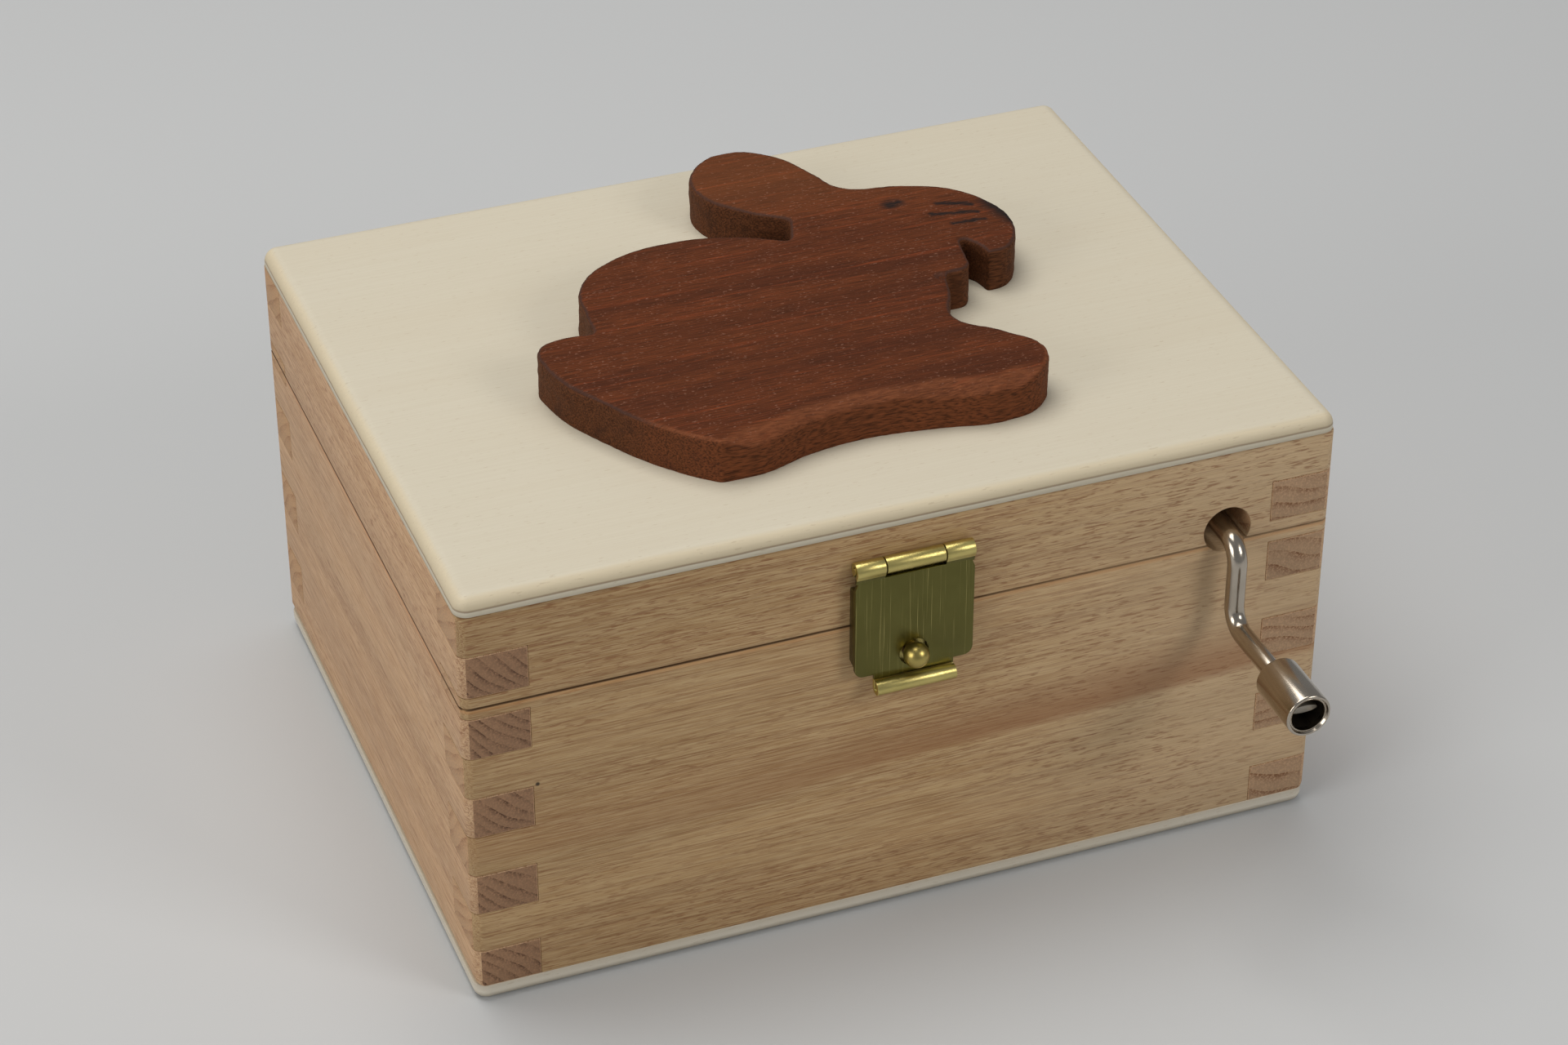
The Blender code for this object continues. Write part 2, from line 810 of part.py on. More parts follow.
def arc(centre, radius, start, end, steps):
    """Points of an arc in the plane through the crank, as (y, z), angles in degrees from +Y towards +Z."""
    points = []
    for i in range(steps + 1):
        angle = math.radians(start + (end - start) * i / steps)
        points.append((centre[0] + radius * math.cos(angle), centre[1] + radius * math.sin(angle)))
    return points


def make_crank():
    r = WIRE_BEND_R
    route = [(-9.0, SHAFT_Z)]
    route += arc((ARM_Y + r, SHAFT_Z - r), r, 90, 180, 5)
    route += arc((ARM_Y - r, KNOB_Z + r), r, 0, -90, 5)
    route.append((KNOB_BACK_Y - 5.6, KNOB_Z))
    curve = bpy.data.curves.new("crank_handle", "CURVE")
    curve.dimensions = "3D"
    curve.bevel_depth = WIRE_R * MM
    curve.bevel_resolution = 3
    curve.use_fill_caps = True
    spline = curve.splines.new("POLY")
    spline.points.add(len(route) - 1)
    for point, (y, z) in zip(spline.points, route):
        point.co = (SHAFT_X * MM, y * MM, z * MM, 1.0)
    mesh = welded_mesh("crank_handle", curve, Matrix.Identity(4))
    shade_round(mesh)
    handle = add_object("crank_handle", mesh, "nickel")
    # The wire's end is squeezed into a flat that keeps the knob on.
    swage_y = KNOB_BACK_Y - 5.0
    swage = box(
        "crank_swage",
        (SHAFT_X - 2.2, swage_y - 0.8, KNOB_Z - 0.7),
        (SHAFT_X + 2.2, swage_y, KNOB_Z + 0.7),
    )
    join(handle, swage)

    bore_r = WIRE_R + GAP
    cup_r = KNOB_R - 0.6
    cup_depth = 6.0
    profile = (
        (KNOB_R - 0.4, 0.0),
        (KNOB_R, -0.4),
        (KNOB_R, -KNOB_L + 0.3),
        (KNOB_R - 0.3, -KNOB_L),
        (cup_r, -KNOB_L),
        (cup_r, -KNOB_L + cup_depth),
        (bore_r, -KNOB_L + cup_depth),
        (bore_r, 0.0),
    )
    turned(
        "crank_knob",
        profile,
        (SHAFT_X, KNOB_BACK_Y, KNOB_Z),
        Y_AXIS,
        "nickel",
        steps=24,
        closed=True,
    )


# ---------------------------------------------------------------- movement


def make_thread(name, centre_y, turns, lead, root_r, tip_r, phase, steps_per_turn=16):
    """A worm's thread: a ridge swept along a helix about the crank shaft."""
    bm = bmesh.new()
    count = turns * steps_per_turn + 1
    root_half = lead * 0.24
    tip_half = lead * 0.12
    previous = None
    for i in range(count):
        turn = i / steps_per_turn - turns / 2
        angle = phase + 2 * math.pi * turn
        y = centre_y + lead * turn
        ring = []
        for radius, offset in (
            (root_r, -root_half),
            (tip_r, -tip_half),
            (tip_r, tip_half),
            (root_r, root_half),
        ):
            x = SHAFT_X + radius * math.cos(angle)
            z = SHAFT_Z + radius * math.sin(angle)
            ring.append(bm.verts.new(Vector((x, y + offset, z)) * MM))
        if previous:
            for a in range(4):
                b = (a + 1) % 4
                bm.faces.new((previous[a], previous[b], ring[b], ring[a]))
        else:
            bm.faces.new(ring[::-1])
        previous = ring
    bm.faces.new(previous)
    return add_object(name, mesh_from(name, bm))


def make_worm():
    root_r = WORM_PITCH_R - 0.8
    worm = turned(
        "crank_worm",
        (
            (root_r, WORM_L),
            (root_r, 0.0),
            (WIRE_R + GAP, 0.0),
            (WIRE_R + GAP, WORM_L),
        ),
        (SHAFT_X, CYLINDER_Y - WORM_L / 2, SHAFT_Z),
        Y_AXIS,
        "brass",
        steps=24,
        closed=True,
    )
    thread = make_thread(
        "worm_thread",
        CYLINDER_Y,
        WORM_TURNS,
        WORM_LEAD,
        root_r - 0.3,
        WORM_TIP_R,
        math.pi,
    )
    join(worm, thread)


def gear_outline():
    """Plain trapezoid teeth, with a gap between two teeth towards the worm."""
    points = []
    step = 2 * math.pi / GEAR_TEETH
    for k in range(GEAR_TEETH):
        middle = (k + 0.5) * step
        for radius, share in (
            (GEAR_PITCH_R - GEAR_TOOTH_IN, -0.2),
            (GEAR_PITCH_R + GEAR_TOOTH_OUT, -0.1),
            (GEAR_PITCH_R + GEAR_TOOTH_OUT, 0.1),
            (GEAR_PITCH_R - GEAR_TOOTH_IN, 0.2),
        ):
            angle = middle + share * step
            points.append(
                (
                    CYLINDER_X + radius * math.cos(angle),
                    CYLINDER_Y + radius * math.sin(angle),
                )
            )
    return points


def note_height(note):
    return CYLINDER_LOW_Z + CYLINDER_L / 2 + (note - (NOTES - 1) / 2) * NOTE_PITCH


def arbor_bore(name):
    low = (CYLINDER_X, CYLINDER_Y, ARBOR_Z[0] - 2)
    high = (CYLINDER_X, CYLINDER_Y, ARBOR_Z[1] + 2)
    return rod(name, low, high, ARBOR_R + GAP, sides=12)


def make_cylinder():
    """The pinned cylinder. Its pins turn by a fixed angle from note to note, so that they spread out."""
    axis = (CYLINDER_X, CYLINDER_Y)
    bore = arbor_bore("cylinder_bore")
    cylinder = rod(
        "cylinder",
        (*axis, CYLINDER_LOW_Z),
        (*axis, CYLINDER_LOW_Z + CYLINDER_L),
        CYLINDER_R,
        "brass",
        sides=36,
    )
    bm = bmesh.new()
    for note in range(NOTES):
        for beat in range(PINS_PER_NOTE):
            angle = math.radians((note * 137 + beat * 161) % 360)
            direction = Vector((math.cos(angle), math.sin(angle), 0))
            centre = Vector((*axis, note_height(note))) + direction * CYLINDER_R
            turn = Z_AXIS.rotation_difference(direction).to_matrix().to_4x4()
            bmesh.ops.create_cone(
                bm,
                cap_ends=True,
                segments=6,
                radius1=0.25 * MM,
                radius2=0.25 * MM,
                depth=2 * MUSIC_PIN_H * MM,
                matrix=Matrix.Translation(centre * MM) @ turn,
            )
    pins = add_object("music_pins", mesh_from("music_pins", bm))
    join(cylinder, pins)
    cut(cylinder, bore)
    gear = prism(
        "cylinder_gear",
        gear_outline(),
        "Z",
        SHAFT_Z - GEAR_W / 2,
        SHAFT_Z + GEAR_W / 2,
        "brass",
    )
    cut(gear, bore)
    low, high = ARBOR_Z
    rod("cylinder_arbor", (*axis, low), (*axis, high), ARBOR_R, "steel", sides=12)


def comb_outline():
    """Teeth towards -Y, longest at the low notes; the two coordinates are y and z."""
    low_z = note_height(0) - NOTE_PITCH / 2
    high_z = note_height(NOTES - 1) + NOTE_PITCH / 2
    points = [(COMB_BACK_Y, low_z)]
    for note in range(NOTES):
        share = note / (NOTES - 1)
        root = COMB_ROOT_Y[0] + (COMB_ROOT_Y[1] - COMB_ROOT_Y[0]) * share
        z = note_height(note)
        low = low_z if note == 0 else z - NOTE_PITCH / 2 + COMB_SLOT / 2
        high = high_z if note == NOTES - 1 else z + NOTE_PITCH / 2 - COMB_SLOT / 2
        if note > 0:
            points.append((root, low))
        points.append((COMB_TIP_Y, low))
        points.append((COMB_TIP_Y, high))
        if note < NOTES - 1:
            points.append((root, high))
    points.append((COMB_BACK_Y, high_z))
    return points


def make_movement(right_board):
    plate = box(
        "movement_bedplate",
        (PLATE_X, BEDPLATE_Y[0], BEDPLATE_Z[0]),
        (PLATE_X + BEDPLATE_T, BEDPLATE_Y[1], BEDPLATE_Z[1]),
        "cast_zinc",
    )
    for number, y in enumerate(POST_Y, start=1):
        post = box(
            f"bearing_post_{number}",
            (SHAFT_X - POST_HALF_H, y, SHAFT_Z - POST_HALF_H),
            (PLATE_X + 1, y + POST_W, SHAFT_Z + POST_HALF_H),
        )
        join(plate, post)
    comb_low_z = note_height(0) - 1.0
    comb_high_z = note_height(NOTES - 1) + 1.0
    seat = box(
        "comb_seat",
        (CYLINDER_X + COMB_T / 2 + GAP, COMB_ROOT_Y[0] + 0.6, comb_low_z),
        (PLATE_X + 1, COMB_BACK_Y + 0.5, comb_high_z),
    )
    join(plate, seat)
    shaft_bore = rod(
        "shaft_bore",
        (SHAFT_X, POST_Y[0] - 3, SHAFT_Z),
        (SHAFT_X, POST_Y[1] + POST_W + 3, SHAFT_Z),
        WIRE_R + GAP,
        sides=16,
    )
    cut(plate, shaft_bore)

    # Three wood screws hold the bedplate to the side board.
    for number, (y, z) in enumerate(MOVEMENT_SCREWS, start=1):
        hole = fastener_hole(
            f"movement_screw_hole_{number}",
            (PLATE_X - 2, y, z),
            (INNER_X + 6.5, y, z),
            1.2 + GAP,
        )
        cut(plate, hole)
        cut(right_board, hole)
        screw(f"movement_screw_{number}", (PLATE_X - GAP, y, z), -X_AXIS, 9.0, 2.4, 1.2)

    comb = prism(
        "comb",
        comb_outline(),
        "X",
        CYLINDER_X - COMB_T / 2,
        CYLINDER_X + COMB_T / 2,
        "steel",
    )
    comb_face_x = CYLINDER_X - COMB_T / 2
    for number, share in ((1, 0.25), (2, 0.75)):
        z = comb_low_z + (comb_high_z - comb_low_z) * share
        hole = fastener_hole(
            f"comb_screw_hole_{number}",
            (comb_face_x - 2, COMB_SCREW_Y, z),
            (comb_face_x + 7.5, COMB_SCREW_Y, z),
            1.0 + GAP,
        )
        cut(comb, hole)
        cut(plate, hole)
        screw(f"comb_screw_{number}", (comb_face_x - GAP, COMB_SCREW_Y, z), -X_AXIS, 6.5)

    make_brackets(plate)
    make_worm()
    make_cylinder()


def make_brackets(plate):
    """Two bent sheet brackets carry the cylinder's arbor."""
    outer_x = PLATE_X - GAP
    tip_x = CYLINDER_X - 3.5
    near_y = CYLINDER_Y - BRACKET_HALF_W
    far_y = CYLINDER_Y + BRACKET_HALF_W
    low_z = BRACKET_LOW_Z
    lower = box(
        "cylinder_bracket_lower",
        (tip_x, near_y, low_z),
        (outer_x, far_y, low_z + BRACKET_T),
        "steel",
    )
    lower_foot = box(
        "lower_foot",
        (outer_x - BRACKET_T, near_y, low_z),
        (outer_x, far_y, low_z + 8),
    )
    join(lower, lower_foot)
    high_z = SHAFT_Z + WORM_TIP_R + 0.7
    foot_low_y = CYLINDER_Y + 6.8
    foot_high_y = foot_low_y + 3.6
    upper = box(
        "cylinder_bracket_upper",
        (tip_x, near_y, high_z),
        (outer_x, foot_high_y, high_z + BRACKET_T),
        "steel",
    )
    upper_foot = box(
        "upper_foot",
        (outer_x - BRACKET_T, foot_low_y, 44.0),
        (outer_x, foot_high_y, high_z + BRACKET_T),
    )
    join(upper, upper_foot)
    bore = arbor_bore("bracket_bore")
    spots = (
        (lower, CYLINDER_Y, low_z + 5.2, 2.0),
        (upper, (foot_low_y + foot_high_y) / 2, 46.2, 1.6),
    )
    for number, (bracket, y, z, head_r) in enumerate(spots, start=1):
        cut(bracket, bore)
        hole = fastener_hole(
            f"bracket_screw_hole_{number}",
            (outer_x - 3, y, z),
            (PLATE_X + BEDPLATE_T + 1, y, z),
            0.8 + GAP,
        )
        cut(bracket, hole)
        cut(plate, hole)
        screw(
            f"bracket_screw_{number}",
            (outer_x - BRACKET_T - GAP, y, z),
            -X_AXIS,
            4.0,
            head_r,
            0.8,
        )


def main():
    global PARTS, CUTTERS
    clear_scene()
    PARTS = make_collection("music_box")
    CUTTERS = make_collection("cutters")
    base, lid = make_box()
    make_rabbit()
    make_hinge("left", -HINGE_X, base["back"], lid["back"], 1)
    make_hinge("right", HINGE_X, base["back"], lid["back"], 5)
    make_hasp(base["front"], lid["front"])
    make_crank()
    make_movement(base["right"])


main()
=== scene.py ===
"""Looks of a hand-cranked music box: beech, plywood, a stained wooden rabbit, brass and nickel fittings.

Mesh helpers take millimetres and model in metres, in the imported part's own frame. Places inside materials
are in metres.
"""

import json
import math

import bmesh
import bpy
from mathutils import Matrix, Vector, noise


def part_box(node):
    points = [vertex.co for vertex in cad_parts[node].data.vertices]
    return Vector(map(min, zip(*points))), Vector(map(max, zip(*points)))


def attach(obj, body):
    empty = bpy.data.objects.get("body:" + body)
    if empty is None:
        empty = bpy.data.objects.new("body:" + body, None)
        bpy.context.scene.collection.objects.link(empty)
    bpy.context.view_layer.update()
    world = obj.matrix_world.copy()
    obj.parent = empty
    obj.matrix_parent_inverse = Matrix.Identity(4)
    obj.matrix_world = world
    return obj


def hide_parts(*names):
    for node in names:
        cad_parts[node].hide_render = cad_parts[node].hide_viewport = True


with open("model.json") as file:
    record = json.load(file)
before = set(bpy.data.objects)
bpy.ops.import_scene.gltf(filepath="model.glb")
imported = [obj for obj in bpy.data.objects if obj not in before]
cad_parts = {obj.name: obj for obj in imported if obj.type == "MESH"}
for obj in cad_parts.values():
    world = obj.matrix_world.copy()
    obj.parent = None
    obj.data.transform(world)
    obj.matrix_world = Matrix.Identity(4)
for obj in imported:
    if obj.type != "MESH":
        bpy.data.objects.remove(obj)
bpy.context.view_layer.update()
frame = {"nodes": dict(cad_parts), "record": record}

MM = 0.001
X_AXIS = Vector((1, 0, 0))
Y_AXIS = Vector((0, 1, 0))
Z_AXIS = Vector((0, 0, 1))


def corners_mm(node_name):
    """The lowest and highest corners of a CAD node, in millimetres."""
    low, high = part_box(node_name)
    return low / MM, high / MM


# ------------------------ sizes, from the frame and for the finer shapes

PANEL_LOW, PANEL_HIGH = corners_mm("bottom_panel")
LID_LOW, LID_HIGH = corners_mm("lid_panel")
HALF_W = PANEL_HIGH.x
HALF_D = PANEL_HIGH.y
PLY_TOP_Z = PANEL_HIGH.z
LID_UNDER_Z = LID_LOW.z
SEAM_Z = (corners_mm("base_front_board")[1].z + corners_mm("lid_front_board")[0].z) / 2

BOARD_T = 10.0
INNER_X = HALF_W - BOARD_T
INNER_Y = HALF_D - BOARD_T
CORNER_R = 1.6
PANEL_CORNER_R = 2.1
LID_EDGE_R = 2.3
BOTTOM_EDGE_R = 1.8
FINGER_H = 7.0
FINGER_PITCH = 14.0
FIRST_FINGER_Z = 2.6
SAW_KERF = 3.3
JOINT_LINE = 0.03
SEAM_LINE = 0.12
BOARD_EDGE_R = 0.14

CRANK_HOLE = (50.5, 55.6)  # x, z
CRANK_HOLE_R = 3.8
SHAFT_X = 50.3
SHAFT_Z = 55.3
SHAFT_BACK_Y = -9.0
ARM_Y = -56.2
KNOB_Z = 41.6
KNOB_BACK_Y = -70.7
KNOB_R = 3.5
KNOB_L = 10.3
CUP_R = KNOB_R - 0.7
CUP_DEPTH = 6.0
WIRE_R = 1.5
WIRE_IN_KNOB = 8.5
WIRE_BEND_R = 3.5

HASP_X = -0.2
HASP_W = 18.4
HASP_AXIS = (-53.5, 63.8)  # y, z
HASP_KNUCKLE_R = 1.3
HASP_MIDDLE_HALF = HASP_W * 0.25
KNUCKLE_GAP = 0.08
FLAP_Y = -53.9
FLAP_BOTTOM_Z = 45.4
FLAP_TOP_Z = HASP_AXIS[1] - 1.65
FLAP_CORNER_R = 1.4
FLAP_SHOULDER = (0.5, 1.3)
SHEET_T = 0.6
TAB_W = 12.4
TAB_DROP = 0.9
CURL_R = 1.15
CURL_DROP = 2.0
HASP_ROLL = (-75, 215)  # degrees
CATCH_Z = 48.0
CATCH_R = 1.95
CATCH_Y = -55.1
CATCH_PLAY = 0.3

HINGE_W = 20.0
HINGE_AXIS_Y = 53.7
HINGE_KNUCKLE_R = 1.4
HINGE_MIDDLE_HALF = HINGE_W * 0.2
HINGE_CLEAR_Z = 1.8
HINGE_OFF_WALL = 0.3
LEAF_H = 8.0
LEAF_CORNER_R = 1.0

CYLINDER_X = 41.1
CYLINDER_Y = -22.0
CYLINDER_R = 6.5
NOTES = 18
NOTE_PITCH = 1.15
BEATS = 44
PIN_R = 0.2
PIN_H = 1.25
PIN_SUNK = 0.5

CAMERA_PLACE = (-0.18533, -0.48751, 0.38999)
CAMERA_TILT = 55.84
CAMERA_TURN = -20.85
CAMERA_LENS = 92.52
WARM_LIGHT = (1.0, 0.965, 0.92)
SOFTBOXES = (
    # name, place and target in metres, size, power
    ("softbox_top", (-0.15, 0.2, 0.95), (0, 0, 0.04), 0.7, 6.1),
    ("softbox_left", (-1.1, -0.35, 0.45), (0, 0, 0.03), 0.6, 4.2),
    ("softbox_right", (0.55, -0.75, 0.6), (0, 0, 0.04), 0.35, 2.6),
)


# ------------------------ node helpers


def node(tree, kind, values=None, **attributes):
    """Adds a shader node. values maps an input's name or number to a constant or another node's output."""
    made = tree.nodes.new("ShaderNode" + kind)
    for key, value in attributes.items():
        setattr(made, key, value)
    for key, value in (values or {}).items():
        socket = made.inputs[key]
        if isinstance(value, bpy.types.NodeSocket):
            tree.links.new(value, socket)
        else:
            socket.default_value = value
    return made


def math_node(tree, operation, a, b=0.0, clamp=False):
    made = node(tree, "Math", {0: a, 1: b}, operation=operation)
    made.use_clamp = clamp
    return made.outputs[0]


def times(tree, product, *factors):
    """The product of several values."""
    for factor in factors:
        product = math_node(tree, "MULTIPLY", product, factor)
    return product


def split(tree, vector):
    """The x, y and z of a vector."""
    return tuple(node(tree, "SeparateXYZ", {0: vector}).outputs)


def mix(tree, factor, a, b, blend="MIX"):
    """Mixes two colours. A colour is an output or a tuple of three."""
    a = a if isinstance(a, bpy.types.NodeSocket) else (*a, 1.0)
    b = b if isinstance(b, bpy.types.NodeSocket) else (*b, 1.0)
    made = node(tree, "Mix", data_type="RGBA", blend_type=blend)
    for number, value in ((0, factor), (6, a), (7, b)):
        if isinstance(value, bpy.types.NodeSocket):
            tree.links.new(value, made.inputs[number])
        else:
            made.inputs[number].default_value = value
    return made.outputs[2]


def band(tree, value, low, high, to_low=0.0, to_high=1.0):
    """Maps value from low..high to to_low..to_high, and clamps it."""
    made = node(
        tree,
        "MapRange",
        {"Value": value, "From Min": low, "From Max": high, "To Min": to_low, "To Max": to_high},
    )
    return made.outputs[0]


def object_coords(tree, grain="X"):
    """Coordinates in metres, turned so that the grain runs along X."""
    coords = node(tree, "TexCoord").outputs["Object"]
    turn = {"X": (0, 0, 0), "Y": (0, 0, math.radians(90)), "Z": (0, math.radians(90), 0)}[grain]
    return node(tree, "Mapping", {"Vector": coords, "Rotation": turn}).outputs[0]


def stretched_noise(tree, coords, along, across, detail=2.0, distortion=0.0, shift=0.0):
    """Noise whose features are about along mm long with the grain and across mm wide."""
    scale = (1 / (along * MM), 1 / (across * MM), 1 / (across * MM))
    moved = node(
        tree, "Mapping", {"Vector": coords, "Location": (shift, shift, shift), "Scale": scale}
    )
    made = node(
        tree,
        "TexNoise",
        {"Vector": moved.outputs[0], "Scale": 1.0, "Detail": detail, "Distortion": distortion},
    )
    return made.outputs[0]


def bump(tree, height, depth_mm, strength=1.0, normal=None):
    values = {"Height": height, "Distance": depth_mm * MM, "Strength": strength}
    if normal is not None:
        values["Normal"] = normal
    return node(tree, "Bump", values).outputs[0]


def new_material(name):
    material = bpy.data.materials.new(name)
    material.use_nodes = True
    tree = material.node_tree
    return material, tree, tree.nodes["Principled BSDF"]


def plug(tree, shader, **sockets):
    """Sets or links the shader's sockets; an underscore in a name stands for a space."""
    for name, value in sockets.items():
        socket = shader.inputs[name.replace("_", " ")]
        if isinstance(value, bpy.types.NodeSocket):
            tree.links.new(value, socket)
        else:
            socket.default_value = value


# ------------------------ materials

CREAM = (0.63, 0.58, 0.46)
GOLD = (0.62, 0.52, 0.20)
BURN_DOT = (-0.0569, -0.052, 0.0379)
STREAK_FOOT = (0.0275, 0.029)
STREAK_FADE = (0.0305, 0.0385)
LID_FLECKS = (0.052, 0.055)


def add_heart_streak_and_painted_light(tree, coords, x, z, color):
    """A wide reddish streak along the long boards, sharp below, fading upwards and to the left, laid over
    painted shade at the boards' left end and painted light at their right end.
    """
    wander = stretched_noise(tree, coords, 90, 30, 1.0, shift=7.0)
    level = math_node(tree, "ADD", z, band(tree, wander, 0.3, 0.7, -0.003, 0.003))
    streak = times(
        tree,
        band(tree, level, *STREAK_FOOT),
        band(tree, level, *STREAK_FADE, 0.6, 0.0),
        band(tree, x, -0.04, 0.01, 0.3, 1.0),
    )
    # Painted shade darkens these boards at their left end, and painted light makes them paler at their
    # right end.
    color = mix(tree, band(tree, x, -0.05, 0.0, 0.2, 0.0), color, (0.21, 0.125, 0.06))
    color = mix(tree, band(tree, x, 0.005, 0.05, 0.0, 0.45), color, (0.74, 0.53, 0.36))
    return mix(tree, streak, color, (0.31, 0.115, 0.042))


def add_seam_shade_and_warm_edge(tree, normal, x, y, z, color):
    """A fine dark line of painted shade in the seam between base and lid, over a warm edge on the base's
    walls.
    """
    below_seam = math_node(tree, "SUBTRACT", SEAM_Z * MM, z)
    upward = split(tree, normal)[2]
    warm = times(
        tree,
        band(tree, math_node(tree, "ABSOLUTE", upward), 0.7, 0.9, 1.0, 0.0),
        band(tree, below_seam, 0.0, 0.0001),
        band(tree, below_seam, 0.0005, 0.0009, 0.5, 0.0),
    )
    color = mix(tree, warm, color, (0.60, 0.28, 0.11))
    # The dark line is painted shade in the seam's gap, stronger towards the left.
    outer_x = math_node(tree, "SUBTRACT", math_node(tree, "ABSOLUTE", x), HALF_W * MM)
    outer_y = math_node(tree, "SUBTRACT", math_node(tree, "ABSOLUTE", y), HALF_D * MM)
    dark = times(
        tree,
        band(tree, math_node(tree, "ABSOLUTE", below_seam), 0.00014, 0.0003, 1.0, 0.0),
        band(tree, math_node(tree, "MAXIMUM", outer_x, outer_y), -0.0004, -0.0003),
        band(tree, x, -0.02, 0.03, 0.8, 0.3),
    )
    return mix(tree, dark, color, (0.075, 0.03, 0.014))


def make_beech(name, grain, tint=(1.0, 1.0, 1.0)):
    """Sanded beech: soft tone bands, long vessel lines and short dark ray flecks."""
    material, tree, shader = new_material(name)
    coords = object_coords(tree, grain)
    texcoord = node(tree, "TexCoord").outputs
    x, y, z = split(tree, texcoord["Object"])
    tones = stretched_noise(tree, coords, 170, 9, 3.0, 0.4)
    color = mix(tree, band(tree, tones, 0.35, 0.65), (0.55, 0.325, 0.155), (0.43, 0.235, 0.10))
    broad = stretched_noise(tree, coords, 320, 24, 1.0, shift=3.0)
    color = mix(tree, band(tree, broad, 0.5, 0.7, 0.0, 0.45), color, (0.40, 0.19, 0.08))
    lines = stretched_noise(tree, coords, 34, 0.36, 4.0, 0.1)
    color = mix(tree, band(tree, lines, 0.44, 0.64, 0.0, 0.72), color, (0.31, 0.145, 0.06))
    fibres = stretched_noise(tree, coords, 6, 0.15, 4.0)
    color = mix(tree, band(tree, fibres, 0.38, 0.64, 0.0, 0.68), color, (0.72, 0.485, 0.275))
    if grain == "X":
        color = add_heart_streak_and_painted_light(tree, coords, x, z, color)
    # Flecks come in patches on the base and all over on the lid.
    flecks = stretched_noise(tree, coords, 2.3, 0.27, 2.0, 0.3, shift=11.0)
    patches = band(tree, stretched_noise(tree, coords, 50, 9, 1.0, shift=5.0), 0.38, 0.62, 0.3, 0.9)
    patches = math_node(tree, "MAXIMUM", patches, band(tree, z, *LID_FLECKS))
    fleck = times(tree, band(tree, flecks, 0.55, 0.66, 0.0, 0.65), patches)
    color = mix(tree, fleck, color, (0.27, 0.105, 0.042))
    color = add_seam_shade_and_warm_edge(tree, texcoord["Normal"], x, y, z, color)
    # One tiny burn beside a finger at the left of the front.
    gap = node(tree, "VectorMath", {0: texcoord["Object"], 1: BURN_DOT}, operation="DISTANCE")
    dot = band(tree, gap.outputs["Value"], 0.00022, 0.00042, 0.9, 0.0)
    color = mix(tree, dot, color, (0.03, 0.018, 0.012))
    color = mix(tree, 1.0, color, tint, "MULTIPLY")
    relief = math_node(tree, "SUBTRACT", fibres, times(tree, fleck, 0.6))
    plug(
        tree,
        shader,
        Base_Color=color,
        Roughness=band(tree, fibres, 0.2, 0.8, 0.5, 0.7),
        Specular_IOR_Level=0.35,
        Normal=bump(tree, relief, 0.07, 0.6),
    )
    return material


def make_end_grain(name, grain, light, dark, tilt, ring_mm):
    """The cut ends of beech boards, with slanting growth rings and tiny pores."""
    material, tree, shader = new_material(name)
    coords = object_coords(tree, grain)
    tilted = node(tree, "Mapping", {"Vector": coords, "Rotation": (math.radians(tilt), 0, 0)})
    bend = stretched_noise(tree, coords, 15, 15, 1.0)
    level = split(tree, tilted.outputs[0])[2]
    across = math_node(tree, "ADD", level, band(tree, bend, 0.2, 0.8, -0.0022, 0.0022))
    ring = math_node(tree, "FRACT", times(tree, across, 1 / (ring_mm * MM)))
    late = math_node(tree, "POWER", band(tree, ring, 0.3, 0.96), 1.8)
    faint = stretched_noise(tree, coords, 4, 4, 1.0, shift=2.0)
    late = times(tree, late, band(tree, faint, 0.35, 0.6, 0.35, 1.0))
    color = mix(tree, late, light, dark)
    pores = stretched_noise(tree, coords, 0.3, 0.3, 2.0)
    pale = tuple(1.35 * channel for channel in light)
    color = mix(tree, band(tree, pores, 0.42, 0.7, 0.0, 0.85), color, pale)
    plug(
        tree,
        shader,
        Base_Color=color,
        Roughness=band(tree, pores, 0.3, 0.7, 0.6, 0.78),
        Specular_IOR_Level=0.3,
        Normal=bump(tree, pores, 0.07, 0.6),
    )
    return material


def make_plywood(name, low_z, high_z, edge_stops):
    """Pale veneer with faint fibres, and its edge coloured by height from a ramp of stops: its plies, and
    painted shade where the stops darken the edge. The stops list (share, colour).
    """
    material, tree, shader = new_material(name)
    coords = object_coords(tree)
    texcoord = node(tree, "TexCoord").outputs
    z = split(tree, texcoord["Object"])[2]
    uneven = band(tree, stretched_noise(tree, coords, 9, 3, 2.0), 0.3, 0.7, -0.02, 0.02)
    share = math_node(tree, "ADD", band(tree, z, low_z * MM, high_z * MM), uneven)
    ramp = node(tree, "ValToRGB", {0: share})
    stops = ramp.color_ramp.elements
    for (position, color), stop in zip(edge_stops, (stops[0], stops[1])):
        stop.position = position
        stop.color = (*color, 1.0)
    for position, color in edge_stops[2:]:
        stops.new(position).color = (*color, 1.0)
    upward = split(tree, texcoord["Normal"])[2]
    on_edge = band(tree, math_node(tree, "ABSOLUTE", upward), 0.9, 0.97, 1.0, 0.0)
    layered = mix(tree, on_edge, CREAM, ramp.outputs[0])
    fibres = stretched_noise(tree, coords, 16, 0.35, 4.0)
    clouds = stretched_noise(tree, coords, 60, 14, 2.0)
    specks = stretched_noise(tree, coords, 1.6, 0.3, 1.0, shift=9.0)
    color = mix(tree, band(tree, fibres, 0.35, 0.7, 0.0, 0.2), layered, (0.52, 0.45, 0.33))
    color = mix(tree, band(tree, clouds, 0.45, 0.75, 0.0, 0.16), color, (0.58, 0.50, 0.36))
    color = mix(tree, band(tree, specks, 0.68, 0.74, 0.0, 0.35), color, (0.42, 0.32, 0.2))
    plug(
        tree,
        shader,
        Base_Color=color,
        Roughness=band(tree, fibres, 0.2, 0.8, 0.5, 0.64),
        Normal=bump(tree, fibres, 0.03, 0.4),
    )
    return material


